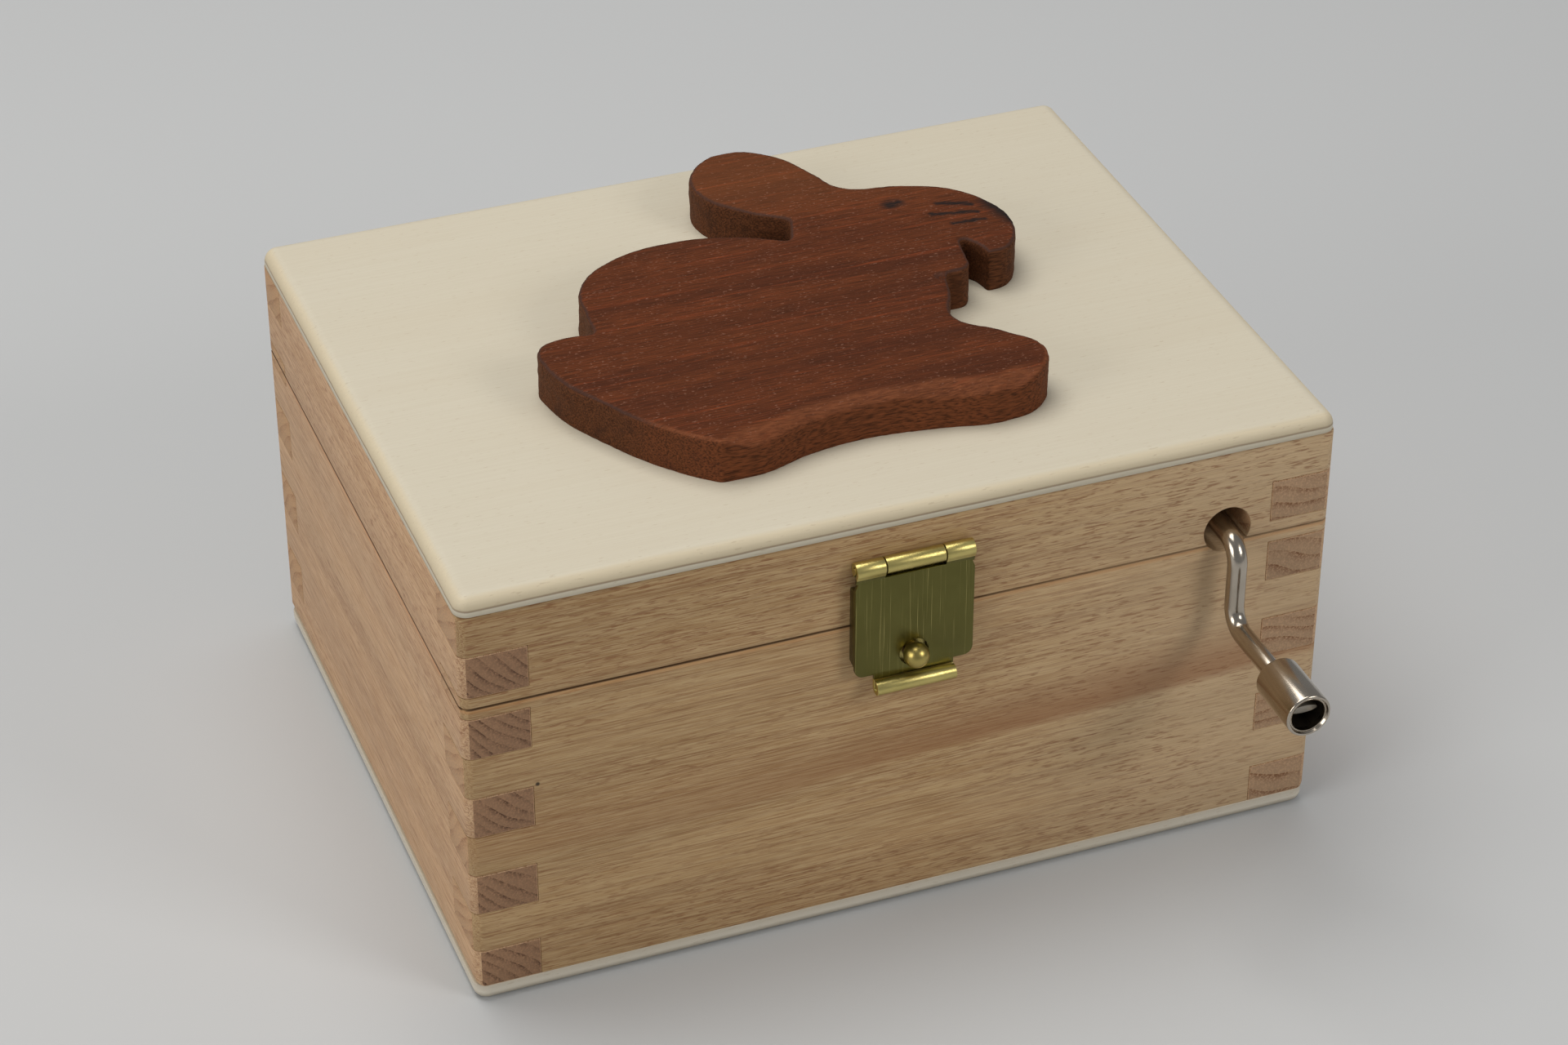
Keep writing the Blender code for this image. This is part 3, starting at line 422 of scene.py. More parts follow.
def near_segment(tree, flat, start, end, half_width):
    """1 on a burnt line from start to end, fading to 0 at its edge."""
    first = Vector((*start, 0)) * MM
    run = Vector((*end, 0)) * MM - first
    offset = node(tree, "VectorMath", {0: flat, 1: first}, operation="SUBTRACT").outputs[0]
    along = node(tree, "VectorMath", {0: offset, 1: run}, operation="DOT_PRODUCT").outputs["Value"]
    share = math_node(tree, "MULTIPLY", along, 1 / run.length_squared, clamp=True)
    scaled = node(tree, "VectorMath", {0: run, "Scale": share}, operation="SCALE").outputs[0]
    gap = node(tree, "VectorMath", {0: offset, 1: scaled}, operation="DISTANCE").outputs["Value"]
    return band(tree, gap, half_width * 0.3 * MM, half_width * 1.4 * MM, 1.0, 0.0)


# start (x, y), end and half width, in millimetres
BURNT_LINES = (
    # eye
    ((24.4, 17.2), (24.9, 17.3), 1.3),
    ((24.9, 17.3), (26.0, 17.4), 0.95),
    # whiskers
    ((31.5, 15.1), (36.4, 13.0), 0.55),
    ((29.4, 12.2), (36.4, 10.5), 0.5),
    ((31.5, 8.4), (36.6, 8.0), 0.5),
)
BURNT_NOSE = ((39.3, 12.4), (40.9, 6.6), 1.9)
NOSE_Z = (0.0762, 0.0786)


def burnt_marks(tree, coords, place, upward):
    """1 on the eye and whiskers on the face, and on the nose, which runs a little way down the wall."""
    wobble = stretched_noise(tree, coords, 1.2, 0.9, 2.0)
    sway = node(tree, "CombineXYZ", {1: band(tree, wobble, 0.3, 0.7, -0.00025, 0.00025)}).outputs[0]
    flat = node(tree, "VectorMath", {0: place, 1: (1, 1, 0)}, operation="MULTIPLY").outputs[0]
    flat = node(tree, "VectorMath", {0: flat, 1: sway}, operation="ADD").outputs[0]
    lines = 0.0
    for start, end, half_width in BURNT_LINES:
        lines = math_node(tree, "MAXIMUM", near_segment(tree, flat, start, end, half_width), lines)
    lines = times(tree, lines, band(tree, upward, 0.5, 0.8))
    z = split(tree, place)[2]
    nose = times(tree, near_segment(tree, flat, *BURNT_NOSE), band(tree, z, *NOSE_Z))
    return math_node(tree, "MAXIMUM", lines, nose)


def make_stained_wood():
    """Red-brown stain on sawn wood: red streaks with the grain, darker sanded edges, rough brown walls."""
    material, tree, shader = new_material("stained_wood")
    coords = object_coords(tree)
    texcoord = node(tree, "TexCoord").outputs
    y = split(tree, texcoord["Object"])[1]
    backward, upward = split(tree, texcoord["Normal"])[1:]
    fibres = stretched_noise(tree, coords, 4.5, 0.2, 4.0)
    tones = stretched_noise(tree, coords, 45, 5, 3.0, 0.3)
    streaks = stretched_noise(tree, coords, 42, 0.8, 3.0, 0.25, shift=4.0)
    color = mix(tree, band(tree, tones, 0.35, 0.65), (0.090, 0.0225, 0.007), (0.142, 0.036, 0.010))
    color = mix(tree, band(tree, streaks, 0.56, 0.74, 0.0, 0.75), color, (0.25, 0.052, 0.014))
    color = mix(tree, band(tree, fibres, 0.38, 0.62, 0.0, 0.75), color, (0.046, 0.0135, 0.0045))
    dust = stretched_noise(tree, coords, 0.6, 0.3, 1.0, shift=8.0)
    color = mix(tree, band(tree, dust, 0.64, 0.76, 0.0, 0.6), color, (0.27, 0.13, 0.085))
    # The ear took the stain lighter.
    color = mix(tree, band(tree, y, 0.014, 0.03, 0.0, 0.15), color, (0.34, 0.125, 0.04))
    wall_pores = stretched_noise(tree, coords, 1.9, 0.24, 4.0)
    wall_tones = stretched_noise(tree, coords, 7, 3, 2.0, shift=2.0)
    wall = mix(tree, band(tree, wall_pores, 0.36, 0.66), (0.052, 0.0175, 0.0065), (0.15, 0.052, 0.02))
    wall = mix(tree, band(tree, wall_tones, 0.55, 0.75, 0.0, 0.55), wall, (0.04, 0.016, 0.009))
    # The front wall is rubbed lighter than the other walls.
    worn = times(
        tree,
        band(tree, backward, -0.25, -0.8),
        band(tree, wall_pores, 0.36, 0.66, 0.1, 0.65),
        band(tree, y, -0.024, -0.029),
    )
    wall = mix(tree, worn, wall, (0.22, 0.062, 0.022))
    color = mix(tree, band(tree, upward, 0.3, 0.75, 1.0, 0.0), color, wall)
    # Sanded edges are darker, but along the front they are lighter: the stain is rubbed thinner there, and
    # the lighter colour is also a painted highlight on the rounded front edge.
    off_front = band(tree, y, -0.031, -0.026)
    rim = times(
        tree,
        band(tree, upward, 0.35, 0.6),
        band(tree, upward, 0.86, 0.98, 1.0, 0.0),
        band(tree, off_front, 0.0, 1.0, 0.12, 0.75),
    )
    color = mix(tree, rim, color, (0.062, 0.032, 0.024))
    rubbed_and_highlight = times(
        tree,
        band(tree, off_front, 0.0, 1.0, 1.0, 0.0),
        band(tree, upward, 0.3, 0.6),
        band(tree, upward, 0.93, 0.995, 1.0, 0.0),
        band(tree, wall_pores, 0.34, 0.64, 0.2, 0.7),
    )
    color = mix(tree, rubbed_and_highlight, color, (0.24, 0.078, 0.03))
    burnt = burnt_marks(tree, coords, texcoord["Object"], upward)
    burnt = times(tree, burnt, band(tree, fibres, 0.3, 0.6, 0.76, 1.0))
    color = mix(tree, burnt, color, (0.013, 0.010, 0.009))
    relief = math_node(tree, "SUBTRACT", math_node(tree, "ADD", fibres, wall_pores), burnt)
    plug(
        tree,
        shader,
        Base_Color=color,
        Roughness=band(tree, fibres, 0.2, 0.8, 0.62, 0.8),
        Specular_IOR_Level=0.12,
        Normal=bump(tree, relief, 0.16, 0.6),
    )
    return material


def make_metal(name, color, tarnish, roughness, grain="X", brush=0.3, brush_mm=(14, 0.12), scratch=None):
    """A metal with brushing along one axis, slight tarnish and, if asked, pale scratches."""
    material, tree, shader = new_material(name)
    coords = object_coords(tree, grain)
    lines = stretched_noise(tree, coords, *brush_mm, 3.0)
    blotches = stretched_noise(tree, coords, 5, 4, 2.0)
    tone = mix(tree, band(tree, blotches, 0.35, 0.75, 0.0, 0.5), color, tarnish)
    if scratch:
        thin = stretched_noise(tree, coords, 16, 0.06, 1.0, shift=6.0)
        tone = mix(tree, band(tree, thin, 0.68, 0.76, 0.0, 0.8), tone, scratch)
    low, high = roughness
    plug(
        tree,
        shader,
        Base_Color=tone,
        Metallic=1.0,
        Roughness=band(tree, lines, 0.25, 0.75, low, high),
        Normal=bump(tree, lines, 0.02, brush),
    )
    return material


BEECH_X = make_beech("beech_long", "X", (0.9, 0.96, 0.92))
BEECH_Y = make_beech("beech_side", "Y", (0.99, 1.03, 1.15))
END_LEFT = make_end_grain("end_grain_left", "Y", (0.29, 0.165, 0.092), (0.10, 0.045, 0.024), 42, 1.7)
END_RIGHT = make_end_grain("end_grain_right", "Y", (0.38, 0.245, 0.145), (0.20, 0.085, 0.036), 6, 2.3)
END_FAINT = make_end_grain("end_grain_faint", "X", (0.45, 0.275, 0.15), (0.27, 0.13, 0.06), 35, 2.4)
LID_PLY = make_plywood(
    "plywood_lid",
    LID_UNDER_Z,
    LID_HIGH.z,
    (
        (0.0, (0.47, 0.42, 0.32)),
        (1.0, CREAM),
        (0.28, (0.64, 0.585, 0.46)),
        (0.33, (0.30, 0.22, 0.14)),
        (0.37, (0.33, 0.245, 0.155)),
        (0.43, (0.58, 0.49, 0.33)),
        (0.85, (0.68, 0.59, 0.42)),
    ),
)
# The bottom panel's edge is painted darker towards its underside: painted shade and a painted dark
# reflection under the round-over, over its plies.
BOTTOM_PLY = make_plywood(
    "plywood_bottom",
    PANEL_LOW.z,
    PANEL_HIGH.z,
    (
        (0.0, (0.30, 0.26, 0.2)),
        (1.0, (0.58, 0.52, 0.42)),
        (0.35, (0.5, 0.45, 0.36)),
        (0.6, (0.70, 0.65, 0.55)),
    ),
)
STAINED = make_stained_wood()
# The plate's brass is painted dark olive: a painted dark reflection in the flat sheet. The rolled parts
# keep bright brass.
BRASS_PLATE_PAINTED_DARK = make_metal(
    "brass_plate_painted_dark", (0.15, 0.138, 0.043), (0.11, 0.1, 0.03), (0.28, 0.4), "Z", 0.4, (14, 0.1), GOLD
)
BRASS_ROLL = make_metal(
    "brass_roll", (0.64, 0.54, 0.20), (0.42, 0.35, 0.11), (0.26, 0.44), "X", 0.6, (0.2, 0.16)
)
BRASS_BALL = make_metal(
    "brass_ball", (0.50, 0.40, 0.13), (0.27, 0.21, 0.06), (0.28, 0.4), "Y", 0.4, (0.6, 0.4)
)
NICKEL = make_metal("nickel", (0.50, 0.445, 0.375), (0.38, 0.33, 0.265), (0.15, 0.25), "Y", 0.15)
NICKEL_CUT = make_metal(
    "nickel_cut", (0.46, 0.42, 0.36), (0.22, 0.2, 0.17), (0.45, 0.6), "Y", 0.8, (2, 0.3)
)
# Darker nickel for deep inside the knob's cup: painted shade in the hollow.
NICKEL_PAINTED_SHADE = make_metal("nickel_inside_painted_shade", (0.30, 0.265, 0.22), (0.16, 0.14, 0.115), (0.25, 0.4), "Y", 0.4)
STEEL = make_metal("steel", (0.56, 0.57, 0.59), (0.42, 0.43, 0.45), (0.22, 0.34), "Y", 0.2)
ZINC = make_metal("cast_zinc", (0.50, 0.50, 0.51), (0.38, 0.38, 0.39), (0.42, 0.58), "X", 0.6, (3, 1.1))


# ------------------------ mesh helpers


def add_object(name, data):
    obj = bpy.data.objects.new(name, data)
    bpy.context.scene.collection.objects.link(obj)
    return obj


def to_mesh(name, bm):
    """A mesh of the bmesh, which is freed."""
    mesh = bpy.data.meshes.new(name)
    bm.to_mesh(mesh)
    bm.free()
    return mesh


def finish_piece(name, bm, materials, body, replaced=(), edge_mm=0.0, segments=2):
    """Turns the bmesh into a piece with small round edges, riding on a body."""
    bmesh.ops.recalc_face_normals(bm, faces=bm.faces)
    obj = add_object(name, to_mesh(name, bm))
    if edge_mm:
        round_edges(obj, edge_mm, segments)
    for material in materials:
        obj.data.materials.append(material)
    smooth(obj.data)
    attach(obj, body)
    if replaced:
        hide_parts(*replaced)
    return obj


def round_edges(obj, width_mm, segments):
    bevel = obj.modifiers.new("edges", "BEVEL")
    bevel.width = width_mm * MM
    bevel.segments = segments
    bevel.limit_method = "ANGLE"
    bevel.angle_limit = math.radians(40)
    bevel.use_clamp_overlap = True
    bake_modifiers(obj)


def smooth(mesh, angle=35):
    mesh.shade_smooth()
    mesh.set_sharp_from_angle(angle=math.radians(angle))


def evaluated_mesh(obj):
    bpy.context.view_layer.update()
    graph = bpy.context.evaluated_depsgraph_get()
    return bpy.data.meshes.new_from_object(obj.evaluated_get(graph))


def bake_modifiers(obj):
    mesh = evaluated_mesh(obj)
    obj.modifiers.clear()
    old = obj.data
    obj.data = mesh
    bpy.data.meshes.remove(old)


def prism(outline, normal, low, high, bm=None):
    """A flat outline with a thickness. Its points are (y, z) for X, (x, z) for Y and (x, y) for Z."""
    bm = bm or bmesh.new()
    place = {
        "X": lambda u, v, w: (w, u, v),
        "Y": lambda u, v, w: (u, w, v),
        "Z": lambda u, v, w: (u, v, w),
    }[normal]
    near = [bm.verts.new(Vector(place(u, v, low)) * MM) for u, v in outline]
    far = [bm.verts.new(Vector(place(u, v, high)) * MM) for u, v in outline]
    bm.faces.new(near)
    bm.faces.new(far[::-1])
    for i in range(len(outline)):
        j = (i + 1) % len(outline)
        bm.faces.new((near[i], far[i], far[j], near[j]))
    return bm


def arc(centre, radius, start, end, steps):
    """Points on an arc, angles in degrees from the first axis towards the second."""
    points = []
    for i in range(steps + 1):
        angle = math.radians(start + (end - start) * i / steps)
        points.append((centre[0] + radius * math.cos(angle), centre[1] + radius * math.sin(angle)))
    return points


def direction(line, i):
    """The direction of a line of points at its point i."""
    before = Vector(line[max(i - 1, 0)])
    after = Vector(line[min(i + 1, len(line) - 1)])
    return (after - before).normalized()


def bridge(bm, a, b):
    """Faces between two rings of points."""
    for i in range(len(a)):
        j = (i + 1) % len(a)
        bm.faces.new((a[i], a[j], b[j], b[i]))


def skin(bm, rings):
    """Faces along a row of rings, and a cap at each end."""
    for a, b in zip(rings, rings[1:]):
        bridge(bm, a, b)
    bm.faces.new(rings[0])
    bm.faces.new(rings[-1][::-1])


def ribbon(bm, line, thickness, x_low, x_high):
    """A sheet bent along a line of (y, z) points, from x_low to x_high."""
    rings = []
    for i, (y, z) in enumerate(line):
        along = direction(line, i)
        side = Vector((-along.y, along.x)) * thickness / 2
        ring = []
        for x, sign in ((x_low, 1), (x_high, 1), (x_high, -1), (x_low, -1)):
            ring.append(bm.verts.new(Vector((x, y + sign * side.x, z + sign * side.y)) * MM))
        rings.append(ring)
    skin(bm, rings)


def lathe(bm, profile, place, direction, steps=48, closed=False):
    """A turned shape. The profile lists (radius, height); closed makes a ring of it."""
    turn = Z_AXIS.rotation_difference(Vector(direction)).to_matrix().to_4x4()
    matrix = Matrix.Translation(Vector(place) * MM) @ turn
    rings = []
    for radius, height in profile:
        count = steps if radius > 0 else 1
        ring = []
        for i in range(count):
            angle = 2 * math.pi * i / steps
            point = Vector((radius * math.cos(angle), radius * math.sin(angle), height)) * MM
            ring.append(bm.verts.new(matrix @ point))
        rings.append(ring)
    pairs = list(zip(rings, rings[1:]))
    if closed:
        pairs.append((rings[-1], rings[0]))
    for a, b in pairs:
        for i in range(steps):
            j = (i + 1) % steps
            corners = [a[i % len(a)], a[j % len(a)], b[j % len(b)], b[i % len(b)]]
            bm.faces.new(list(dict.fromkeys(corners)))


def tube(bm, line, sections, sides=32):
    """A bar along points of (y, z) at the shaft's x. sections lists its half width and half height."""
    rings = []
    for i, (y, z) in enumerate(line):
        along = direction(line, i)
        side = Vector((0, -along.y, along.x))
        wide, tall = sections[i]
        centre = Vector((SHAFT_X, y, z))
        ring = []
        for k in range(sides):
            angle = 2 * math.pi * k / sides
            offset = X_AXIS * wide * math.cos(angle) + side * tall * math.sin(angle)
            ring.append(bm.verts.new((centre + offset) * MM))
        rings.append(ring)
    skin(bm, rings)


# ------------------------ boards and panels


def side_fingers():
    """The heights of the side boards' fingers. The saw's cut brings those of the lid closer."""
    fingers = []
    for k in range(5):
        low = FIRST_FINGER_Z + k * FINGER_PITCH
        if low > SEAM_Z:
            low -= SAW_KERF
        fingers.append((low, low + FINGER_H))
    return fingers


def hole_arc(level, over):
    """The crank hole's edge where a front board's seam edge at this height cuts it, from +X to -X."""
    x, z = CRANK_HOLE
    start = math.degrees(math.asin((level - z) / CRANK_HOLE_R))
    if over:
        return arc(CRANK_HOLE, CRANK_HOLE_R, start, 180 - start, 28)
    return arc(CRANK_HOLE, CRANK_HOLE_R, start, -180 - start, 20)


def board_outline(half, low_z, high_z, notches, hole):
    """A board seen flat on, anticlockwise from its lower right corner, with a notch for each finger."""
    shift = JOINT_LINE
    right = [(half, low_z)]
    for low, high in notches:
        low = max(low - shift, low_z)
        high = min(high + shift, high_z)
        if high <= low:
            continue
        if low == low_z:
            right.pop()
        else:
            right.append((half, low))
        right.append((half - BOARD_T - shift, low))
        right.append((half - BOARD_T - shift, high))
        if high < high_z:
            right.append((half, high))
    if right[-1][1] < high_z:
        right.append((half, high_z))
    left = [(-u, v) for u, v in reversed(right)]
    if hole == "top":
        return right + hole_arc(high_z, False) + left
    if hole == "bottom":
        return right + left + hole_arc(low_z, True)[::-1]
    return right + left


def on_corner(vertex):
    """Whether a point lies on one of the box's upright corners."""
    off_x = abs(abs(vertex.co.x) - HALF_W * MM)
    off_y = abs(abs(vertex.co.y) - HALF_D * MM)
    return max(off_x, off_y) < 1e-7


def make_board(name, outline, normal, low, high, body, grain_materials):
    """One board with its outer upright edges rounded and its cut ends in end grain."""
    bm = prism(outline, normal, low, high)
    outer = [edge for edge in bm.edges if all(on_corner(vertex) for vertex in edge.verts)]
    bmesh.ops.bevel(bm, geom=outer, offset=CORNER_R * MM, segments=8, profile=0.5, affect="EDGES")
    replaced = (name.removeprefix("wood_"),)
    board = finish_piece(name, bm, grain_materials, body, replaced, BOARD_EDGE_R)
    grain_axis = 0 if normal == "Y" else 1
    for polygon in board.data.polygons:
        if abs(polygon.normal[grain_axis]) > 0.93:
            polygon.material_index = 1


def make_carcase(body, low_z, high_z):
    """The four boards of the base or of the lid."""
    fingers = side_fingers()
    levels = [low_z] + [z for pair in fingers for z in pair if low_z < z < high_z] + [high_z]
    inside = any(low <= low_z < high for low, high in fingers)
    gaps = []
    for low, high in zip(levels, levels[1:]):
        if not inside:
            gaps.append((low, high))
        inside = not inside
    hole = "top" if body == "base" else "bottom"
    front = board_outline(HALF_W, low_z, high_z, fingers, hole)
    back = board_outline(HALF_W, low_z, high_z, fingers, None)
    side = board_outline(HALF_D, low_z, high_z, gaps, None)
    for name, outline, normal, low, high, materials in (
        ("front", front, "Y", -HALF_D, -INNER_Y, (BEECH_X, END_FAINT)),
        ("back", back, "Y", INNER_Y, HALF_D, (BEECH_X, END_FAINT)),
        ("left", side, "X", -HALF_W, -INNER_X, (BEECH_Y, END_LEFT)),
        ("right", side, "X", INNER_X, HALF_W, (BEECH_Y, END_RIGHT)),
    ):
        make_board(f"wood_{body}_{name}_board", outline, normal, low, high, body, materials)


def make_panel(name, levels, material, body, replaced):
    """A plywood panel with round corners, built up from outlines. levels lists (inset, z)."""
    bm = bmesh.new()
    rings = []
    for inset, z in levels:
        radius = max(PANEL_CORNER_R - inset, 0.3)
        ring = []
        for x_sign, y_sign, start in ((1, 1, 0), (-1, 1, 90), (-1, -1, 180), (1, -1, 270)):
            centre = (x_sign * (HALF_W - inset - radius), y_sign * (HALF_D - inset - radius))
            for x, y in arc(centre, radius, start, start + 90, 8):
                ring.append(bm.verts.new(Vector((x, y, z)) * MM))
        rings.append(ring)
    skin(bm, rings)
    finish_piece(name, bm, (material,), body, replaced)


def round_over(radius, from_z, to_z):
    """The (inset, z) levels of a quarter round that ends flush with the face at to_z."""
    sign = math.copysign(1, to_z - from_z)
    return [
        (radius * (1 - math.cos(angle)), to_z - sign * radius * (1 - math.sin(angle)))
        for angle in (math.radians(90 * i / 10) for i in range(11))
    ]


# ------------------------ rabbit

CORNER = "VECTOR"
SMOOTH = "AUTO"
RABBIT_OUTLINE = (
    # tail and rump
    (-40.3, -9.0, SMOOTH),
    (-39.6, -3.6, SMOOTH),
    (-35.5, -2.0, SMOOTH),
    (-30.5, -2.6, CORNER),
    (-30.2, 2.5, SMOOTH),
    (-28.6, 10.6, SMOOTH),
    (-22.5, 16.4, SMOOTH),
    (-11.1, 18.8, SMOOTH),
    (-1.0, 16.7, SMOOTH),
    (6.3, 12.6, CORNER),
    # ear
    (8.4, 18.8, CORNER),
    (1.9, 24.2, SMOOTH),
    (-2.3, 32.2, SMOOTH),
    (0.2, 39.4, SMOOTH),
    (6.5, 42.3, SMOOTH),
    (13.3, 38.5, SMOOTH),
    (17.0, 31.2, SMOOTH),
    # head
    (19.7, 25.3, SMOOTH),
    (28.3, 22.7, SMOOTH),
    (35.2, 19.3, SMOOTH),
    (39.8, 12.5, SMOOTH),
    (40.6, 6.7, SMOOTH),
    (39.2, 2.2, SMOOTH),
    (36.4, -1.0, SMOOTH),
    (33.2, -1.6, CORNER),
    (32.6, 1.6, SMOOTH),
    (30.5, 4.9, CORNER),
    # chest
    (29.9, 0.4, SMOOTH),
    (28.5, -4.3, SMOOTH),
    (24.6, -4.8, CORNER),
    (23.4, -9.5, SMOOTH),
    # leg and foot
    (21.1, -17.2, SMOOTH),
    (26.0, -22.7, SMOOTH),
    (30.2, -29.0, SMOOTH),
    (28.0, -34.2, SMOOTH),
    (20.5, -36.5, SMOOTH),
    (11.3, -34.9, SMOOTH),
    (1.5, -33.7, SMOOTH),
    (-8.0, -34.5, SMOOTH),
    (-17.5, -37.1, SMOOTH),
    (-23.2, -37.1, CORNER),
    (-28.5, -32.0, SMOOTH),
    (-34.9, -22.5, SMOOTH),
)
FRONT_RUN = RABBIT_OUTLINE[34:41]
RABBIT_VOXEL = 0.45
RABBIT_SUNK = 0.8
SANDING_ROUNDS = 7
FRONT_EASE_W = 3.6
FRONT_EASE_H = 1.5
FRONT_EASE_ENDS = 5.0
CHEST_DENT = Vector((23.6, -5.3, 79.0))
CHEST_DENT_R = 1.7
CHEST_DENT_DEPTH = 0.9


def front_line(x):
    """The y of the rabbit's front edge at this x, or None past its ends."""
    for (x1, y1, _), (x2, y2, _) in zip(FRONT_RUN, FRONT_RUN[1:]):
        if x2 <= x <= x1:
            return y1 + (y2 - y1) * (x - x1) / (x2 - x1)
    return None


def rabbit_board(low_z, top_z):
    """The rabbit's outline as a board of even thickness."""
    curve = bpy.data.curves.new("rabbit_line", "CURVE")
    curve.dimensions = "2D"
    curve.fill_mode = "BOTH"
    curve.resolution_u = 10
    curve.extrude = (top_z - low_z) / 2 * MM
    spline = curve.splines.new("BEZIER")
    spline.bezier_points.add(len(RABBIT_OUTLINE) - 1)
    for point, (x, y, kind) in zip(spline.bezier_points, RABBIT_OUTLINE):
        point.co = (x * MM, y * MM, 0.0)
        point.handle_left_type = kind
        point.handle_right_type = kind
    spline.use_cyclic_u = True
    holder = add_object("rabbit_line", curve)
    mesh = evaluated_mesh(holder)
    bpy.data.objects.remove(holder, do_unlink=True)
    bm = bmesh.new()
    bm.from_mesh(mesh)
    bpy.data.meshes.remove(mesh)
    bmesh.ops.remove_doubles(bm, verts=bm.verts, dist=1e-6)
    bmesh.ops.translate(bm, vec=(0, 0, (top_z + low_z) / 2 * MM), verts=bm.verts)
    return bm


def hand_worked(place, normal, top_z):
    """Moves a point of the rabbit: rough walls, the round-over along the front, and a dent on the chest."""
    wall = 1.0 - abs(normal.z)
    rough = noise.noise(place * 0.9) * 0.11 * wall + noise.noise(place * 0.16) * 0.16 * wall
    place += normal * rough
    edge = front_line(place.x)
    if edge is not None:
        inside = min(max((place.y - edge) / FRONT_EASE_W, 0.0), 1.0)
        height = min(max((place.z - LID_HIGH.z) / (top_z - LID_HIGH.z), 0.0), 1.0)
        to_end = min(place.x - FRONT_RUN[-1][0], FRONT_RUN[0][0] - place.x)
        ends = min(to_end / FRONT_EASE_ENDS, 1.0)
        uneven = 1.0 + 0.5 * noise.noise(Vector((place.x * 0.12, 0, 4.0)))
        place.z -= FRONT_EASE_H * uneven * ends * height * (1.0 - inside) ** 2
    depth = max(1.0 - (place - CHEST_DENT).length / CHEST_DENT_R, 0.0)
    place.z -= CHEST_DENT_DEPTH * depth * depth
    place.z = min(max(place.z, LID_HIGH.z - 0.02), top_z)
    return place


def make_rabbit():
    """A figure sawn from board and sanded by hand. It reaches a little way into the lid panel."""
    top_z = corners_mm("rabbit_figure")[1].z
    bm = rabbit_board(LID_HIGH.z - RABBIT_SUNK, top_z)
    rabbit = finish_piece("rabbit", bm, (), "lid", ("rabbit_figure",))
    remesh = rabbit.modifiers.new("voxels", "REMESH")
    remesh.mode = "VOXEL"
    remesh.voxel_size = RABBIT_VOXEL * MM
    relax = rabbit.modifiers.new("sanding", "SMOOTH")
    relax.factor = 0.5
    relax.iterations = SANDING_ROUNDS
    bake_modifiers(rabbit)
    rabbit.data.materials.append(STAINED)
    normals = [vertex.normal.copy() for vertex in rabbit.data.vertices]
    for vertex, normal in zip(rabbit.data.vertices, normals):
        vertex.co = hand_worked(vertex.co / MM, normal, top_z) * MM
    smooth(rabbit.data, 50)


# ------------------------ hasp and hinges


def roll(centre, radius, start, end, tail):
    """A sheet's rolled edge: an arc of its middle line, then straight on to the tail's points."""
    return arc(centre, radius, start, end, 22) + list(tail)


def make_flap_plate(left, right):
    """The flap's flat plate, with its tab below and the hole for the catch ball."""
    r = FLAP_CORNER_R
    across, down = FLAP_SHOULDER
    tab_z = FLAP_BOTTOM_Z - TAB_DROP
    outline = (
        arc((left + r, FLAP_BOTTOM_Z + r), r, 180, 270, 6)
        + [(HASP_X - TAB_W / 2, FLAP_BOTTOM_Z), (HASP_X - TAB_W / 2, tab_z)]
        + [(HASP_X + TAB_W / 2, tab_z), (HASP_X + TAB_W / 2, FLAP_BOTTOM_Z)]
        + arc((right - r, FLAP_BOTTOM_Z + r), r, 270, 360, 6)
        + [(right, FLAP_TOP_Z - down), (right - across, FLAP_TOP_Z)]
        + [(left + across, FLAP_TOP_Z), (left, FLAP_TOP_Z - down)]
    )
    bm = prism(outline, "Y", FLAP_Y - SHEET_T / 2, FLAP_Y + SHEET_T / 2)
    flap = finish_piece("brass_hasp_flap", bm, (), "hasp", ("hasp_flap",))
    hole = bmesh.new()
    hole_r = CATCH_R + CATCH_PLAY
    lathe(hole, ((0, 3), (hole_r, 3), (hole_r, -3), (0, -3)), (HASP_X, FLAP_Y, CATCH_Z), Y_AXIS)
    cut_with(flap, hole)
    round_edges(flap, 0.2, 3)
    flap.data.materials.append(BRASS_PLATE_PAINTED_DARK)
    smooth(flap.data)


def make_flap_knuckles(left, right):
    """The flap's two rolled knuckles, with tails that meet the plate's top."""
    bm = bmesh.new()
    tail = [(FLAP_Y - 0.2, FLAP_TOP_Z + 0.6), (FLAP_Y, FLAP_TOP_Z - 0.05), (FLAP_Y, FLAP_TOP_Z - 0.3)]
    line = roll(HASP_AXIS, HASP_KNUCKLE_R - SHEET_T / 2, *HASP_ROLL, tail)
    for low, high in ((left, HASP_X - HASP_MIDDLE_HALF), (HASP_X + HASP_MIDDLE_HALF, right)):
        ribbon(bm, line, SHEET_T, low + KNUCKLE_GAP, high - KNUCKLE_GAP)
    finishes = (BRASS_ROLL, BRASS_PLATE_PAINTED_DARK)
    knuckles = finish_piece("brass_hasp_knuckles", bm, finishes, "hasp", (), 0.08)
    for polygon in knuckles.data.polygons:
        polygon.material_index = 1 if polygon.center.z / MM < HASP_AXIS[1] - 1.0 else 0


def make_flap_curl():
    """The curl below the tab, for a fingertip."""
    bm = bmesh.new()
    curl_y = FLAP_Y + SHEET_T / 2 - CURL_R
    curl_z = FLAP_BOTTOM_Z - CURL_DROP
    line = [(FLAP_Y, FLAP_BOTTOM_Z - 0.8), (FLAP_Y, curl_z + 0.4)]
    line += arc((curl_y, curl_z), CURL_R - SHEET_T / 2, 10, -290, 24)
    ribbon(bm, line, SHEET_T, HASP_X - TAB_W / 2, HASP_X + TAB_W / 2)
    finish_piece("brass_hasp_curl", bm, (BRASS_ROLL,), "hasp", (), 0.08)


